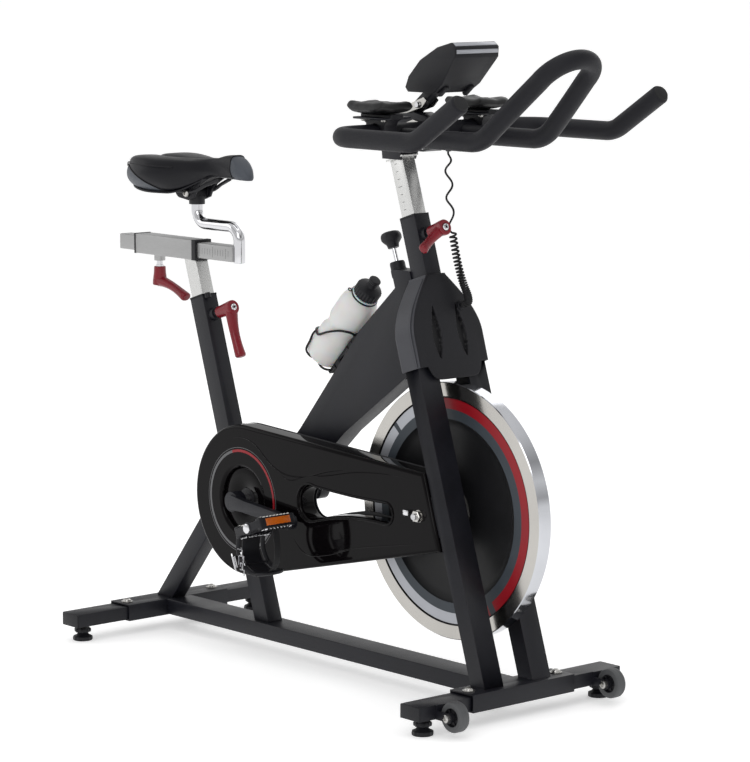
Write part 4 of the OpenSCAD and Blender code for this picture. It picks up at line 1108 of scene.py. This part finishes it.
# ---- Console
def console():
    rounded("console", "moulded", 0.0022)
    panel_dir = Vector((0.330 - 0.284, 0, 1.171 - 1.147)).normalized()
    panel_up = Vector((-panel_dir.z, 0, panel_dir.x))
    for word, lift, size, key in (("screen", 0.0006, (0.040, 0.070, 0.0018), "screen:gloss_black"),
            ("bezel", 0.0002, (0.047, 0.080, 0.0016), "gloss")):
        block(f"console_{word}", Vector((0.307, 0, 1.159)) + panel_up * lift, size,
            (panel_dir, SIDE, panel_up), "handlebars", key, 0.0006)
    edge = Vector((0.377 - 0.366, 0, 1.172 - 1.180)).normalized()
    edge_up = Vector((-edge.z, 0, edge.x))
    for k, (x, z, w) in enumerate(((0.3715, 1.1765, 0.0085), (0.3773, 1.1640, 0.0070))):
        d = edge if k == 0 else Vector((0, 0, -1))
        nn = edge_up if k == 0 else Vector((1, 0, 0))
        block(f"console_trim_{k}", (x, 0, z), (w, 0.098, 0.0014), (d, SIDE, nn), "handlebars", "silver",
            0.0005)
    for s, word in SIDES:
        paint(f"console_button_{word}", "lever")
        block(f"console_clip_{word}", (0.322, s * 0.030, 1.094), (0.026, 0.010, 0.008),
            ((0.78, 0, 0.62), SIDE, (-0.62, 0, 0.78)), "handlebars", "moulded", 0.002)


# ---- Small parts
def foot(name, node):
    c = middle(node)
    steps = 96
    rings = mm(18, 0, 19.2, 1, 19.5, 4, 19, 7.5, 12.5, 10.5, 10, 13.5, 12, 15, 15, 16.5, 15.5, 21.5, 14, 24,
        6, 24.6)
    verts, faces = [Vector((c.x, c.y, 0))], []
    for j, (r, z) in enumerate(rings):
        for k in range(steps):
            a = 2 * pi * k / steps
            lobe = 1
            if j in (7, 8, 9):
                lobe += 0.07 * cos(8 * a)
            elif 1 <= j <= 3:
                lobe += 0.025 * cos(12 * a) - 0.025
            verts.append(Vector((c.x + r * lobe * cos(a), c.y + r * lobe * sin(a), z)))
    for k in range(steps):
        faces.append([0, 1 + (k + 1) % steps, 1 + k])
    faces += hoops(len(rings) - 1, steps, start=1)
    pad = add(name + "_pad", verts, faces, body_of_node(node), "moulded:rubber", angle=40)
    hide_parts(node)
    profile = [(0.005, 0.022)]
    for k in range(10):
        profile += [(0.0050, 0.0245 + 0.0016 * k), (0.0043, 0.0253 + 0.0016 * k)]
    lathe(name + "_stud", profile + [(0, 0.042)], (c.x, c.y, 0), (0, 0, 1), body_of_node(node), "zinc", 32)


def transport_wheel(word, y):
    node = "transport_wheel_" + word
    c = Vector((0.533, y, 0.038))
    tyre = mm(16.5, 9.5, 22.5, 10.5, 25.5, 9.5, 26.8, 7, 27, 3, 26.6, 2.6, 26.6, 1)
    full = tyre + [(r, -h) for r, h in reversed(tyre)]
    piece = lathe(f"{node}_tyre", full, c, SIDE, "wheel_" + word, "tyre:rubber", 96, angle=40)
    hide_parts(node)
    hub = mm(4.7, 11.8, 7.5, 11.8, 8, 10.5, 8.5, 6, 14, 5, 16, 9, 17, 9.5)
    full = hub + [(r, -h) for r, h in reversed(hub)]
    lathe(f"{node}_hub", full, c, SIDE, "wheel_" + word, "moulded:rubber", 64, angle=40)
    for k in range(6):
        a = radians(60 * k)
        d = Vector((cos(a), 0, sin(a)))
        block(f"{node}_rib_{k}", c + d * 0.0115, (0.008, 0.0165, 0.0016), (d, SIDE, d.cross(SIDE)),
            "wheel_" + word, "moulded:rubber", 0.0004, 1)


def small_parts():
    for x in (-0.514, 0.476):
        for s, word in SIDES:
            bolt(f"foot_bolt_{'rear' if x < 0 else 'front'}_{word}", (x, s * 0.106, 0.0616), (0, 0, 1),
                0.0085, "frame", "zinc", washer=0.0115)
    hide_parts("foot_bolts")
    for s, word in SIDES:
        y = s * 0.0955
        lathe(f"axle_nut_{word}", mm(6.4, -7, 10.5, -6.8, 11, -6, 11, 0, 10, 1, 6.4, 1), (0.324, y, 0.346),
            (0, s, 0), "frame", "zinc", 6, angle=20)
        lathe(f"axle_end_{word}", mm(6, 0, 6, 9.5, 5, 10.5, 0, 10.5), (0.324, y - s * 0.004, 0.346),
            (0, s, 0), "frame", "steel:zinc", 32)
        lathe(f"wheel_screw_{word}", mm(7, -1, 7, 3, 5.5, 4.2, 3, 4.4, 2.8, 2, 0, 2),
            (0.533, s * 0.190 - 0.0205, 0.038), (0, -1, 0), "frame", "zinc", 32)
    paint("axle_nuts", "zinc")
    block("axle_tensioner", (0.296, -0.0900, 0.349), (0.014, 0.010, 0.010), LEVEL, "frame", "chrome:zinc",
        0.002)
    stem_parts()


def brake():
    knob = Vector((0.153, 0, 0.818))
    d = Vector((AXLE[0] - knob.x, 0, AXLE[1] - knob.z)).normalized()
    rings = mm(4, -15.2, 12, -15, 16, -13.5, 18.6, -10, 19.4, -6, 19, -1, 16, 3, 11.5, 8, 10, 14.8, 4, 15)

    def lobed(j, k, r):
        return r * (1 - (0.05 * (0.5 + 0.5 * cos(6 * 2 * pi * k / ROUND)) if j in (3, 4, 5) else 0))

    verts, faces, last = knurled(rings, knob, d, lobed)
    faces += [list(range(ROUND))[::-1], last]
    piece = add("brake_knob_shape", verts, faces, "brake_knob", "moulded", angle=40)
    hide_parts("brake_knob")
    lathe("brake_rod", mm(0, 14, 4, 14, 4, 230, 0, 233), knob, d, "brake_knob", "chrome:zinc", 32)
    lathe("brake_boot", mm(6.2, 40, 13, 41, 14, 44, 14, 54, 15, 56, 15, 68, 6.2, 69), knob, d, "frame",
        "moulded", 48)
    paint("brake_collar", "zinc")
    rounded("brake_pad", "rubber", 0.0015, 2)


def seat_parts():
    rounded("slider_sleeve", "satin", 0.0016)
    rounded("slider_bushings", "moulded", 0.0012)
    rounded("seat_post", "post", 0.0018)
    rounded("handlebar_post", "post", 0.0018)
    rounded("saddle_clamp", "moulded", 0.0015, 2)
    saddle_pan()
    z = 0.758
    bar = block("slider_bar", (-0.4685, 0, z), (0.357, 0.030, 0.030), LEVEL, "slider", "satin", 0.0022, 3)
    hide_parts("slider_post")
    path = [(-0.286, 0, z - 0.0165), (-0.286, 0, z + 0.0), (-0.286, 0, z + 0.023)]
    path += [(x, 0, h) for x, h in arc(-0.314, z + 0.023, 0.028, 8, 88, 10)]
    path += [(-0.33, 0, z + 0.051), (-0.36, 0, z + 0.051), (-0.388, 0, z + 0.051)]
    path += [(x, 0, h) for x, h in arc(-0.388, z + 0.079, 0.028, 262, 182, 10)]
    path += [(-0.416, 0, z + 0.09), (-0.416, 0, z + 0.099)]
    tube("saddle_stem", path, 0.0111, "slider", "chrome", sides=40, round_end=0.001, angle=60)
    for k in range(12):
        block(f"slider_mark_{k}", (-0.390 + 0.008 * k, -0.01497, z),
            (0.0008, 0.0001, 0.020 if k % 5 == 0 else 0.012), LEVEL, "slider", "disc:chrome", 0.0001, 1)
    for s, word in SIDES:
        bolt(f"saddle_bolt_{word}", (-0.416, s * 0.0265, 0.868), (0, s, 0), 0.0075, "saddle", "zinc")
    lathe("seat_collar_screw", mm(0, -2, 5.5, -2, 6.2, 0, 6.2, 6, 4.8, 8, 0, 8), (-0.371, -0.010, 0.670), UP,
        "frame", "moulded", 32)


def tube_collars():
    """Thin plastic liners standing out of the seat and head tubes' mouths."""
    d, w = 0.0405, 0.0355
    for name, base_x, z in (("seat_liner", SEAT_X, 0.667), ("head_liner", FORK_X, 0.864)):
        c = on_tube(base_x, z) + UP * 0.001
        for k, (along, across, wide, apart) in enumerate(((OUT, SIDE, w, d), (SIDE, OUT, d, w))):
            gap = apart / 2 - 0.0012
            for s in (-1, 1):
                block(f"{name}_{k}_{'b' if s > 0 else 'a'}", c + along * s * gap, (0.0022, wide, 0.003),
                    (along, across, UP), "frame", "moulded", 0.0005, 1)


# ---- Stage
def studio():
    scene = bpy.context.scene
    scene.view_settings.view_transform = "Standard"
    floor = bpy.data.meshes.new("floor")
    size = 120
    floor.from_pydata([(-size, -size, 0), (size, -size, 0), (size, size, 0), (-size, size, 0)], [],
        [(0, 1, 2, 3)])
    obj = link("floor", floor)
    paint_mat = material("floor_paint", (0.86, 0.86, 0.86), 0.85, vary=0.01, vary_scale=2)
    surface = paint_mat.node_tree.nodes["Principled BSDF"]
    surface.inputs["Emission Color"].default_value = (1, 1, 1, 1)
    surface.inputs["Emission Strength"].default_value = 0.42
    floor.materials.append(paint_mat)
    world = bpy.data.worlds.new("studio")
    scene.world = world
    world.use_nodes = True
    nt = world.node_tree
    bg = nt.nodes["Background"]
    co = nt.nodes.new("ShaderNodeTexCoord")
    sep = nt.nodes.new("ShaderNodeSeparateXYZ")
    ramp = nt.nodes.new("ShaderNodeValToRGB")
    nt.links.new(co.outputs["Generated"], sep.inputs["Vector"])
    nt.links.new(sep.outputs["Z"], ramp.inputs["Fac"])
    stops = [(0.0, 1.0), (0.06, 1.0), (0.16, 0.50), (0.34, 0.86), (0.52, 0.42), (0.74, 0.86), (1.0, 0.62)]
    ramp.color_ramp.elements[0].position, ramp.color_ramp.elements[1].position = 0.0, 1.0
    for position, value in stops[1:-1]:
        ramp.color_ramp.elements.new(position)
    for e, (position, value) in zip(ramp.color_ramp.elements, stops):
        e.position = position
        e.color = (value, value, value, 1)
    nt.links.new(ramp.outputs["Color"], bg.inputs["Color"])
    bg.inputs["Strength"].default_value = 0.98
    for name, at, size, power in (("key", (2.6, -3.4, 3.2), 2.2, 42), ("fill", (-3.5, -2.5, 2.4), 2.5, 20),
            ("back", (-1.5, 3.8, 2.8), 2.6, 26), ("top", (0.2, 0.0, 4.0), 2.4, 20)):
        data = bpy.data.lights.new(name, "AREA")
        data.energy, data.size = power, size
        lamp = link(name, data)
        lamp.location = at
        lamp.rotation_euler = (Vector((0, 0, 0.55)) - Vector(at)).to_track_quat("-Z", "Y").to_euler()


# ---- Build
make_camera()
cord()
for node, width in (("main_beam", 0.0022), ("foot_sleeves", 0.0022), ("foot_tubes", 0.0019),
        ("seat_tube", 0.0022), ("rear_strut", 0.0022), ("down_tube", 0.0022), ("head_tube", 0.0022),
        ("fork_legs", 0.0022), ("handlebar_stem", 0.0025), ("elbow_cradles", 0.0018), ("crank_arms", 0.0030)):
    rounded(node, "powder", width)
rounded("foot_end_caps", "moulded", 0.0018)
shroud()
rounded("cord_socket", "moulded", 0.0012)
for node, key in (("wheel_axles", "zinc"), ("flywheel_axle", "steel"), ("drive_belt", "rubber"),
        ("crank_bearings", "steel"), ("flywheel_bearings", "steel"), ("flywheel_pulley", "silver"),
        ("crank_axle", "steel"), ("crank_pulley", "moulded"), ("cord_plug", "moulded")):
    paint(node, key)
flywheel()
guard()
saddle()
elbow_pads()
handlebars()
levers()
pedal("right")
pedal("left")
bottle()
cage()
console()
for name in ("rear_right", "rear_left", "front_right", "front_left"):
    foot("foot_" + name, "levelling_foot_" + name)
transport_wheel("right", -0.190)
transport_wheel("left", 0.190)
small_parts()
brake()
seat_parts()
tube_collars()
post_marks("head_mark", on_tube(FORK_X, 0.985), 9, "handlebars", 0.01455, -0.004)
studio()
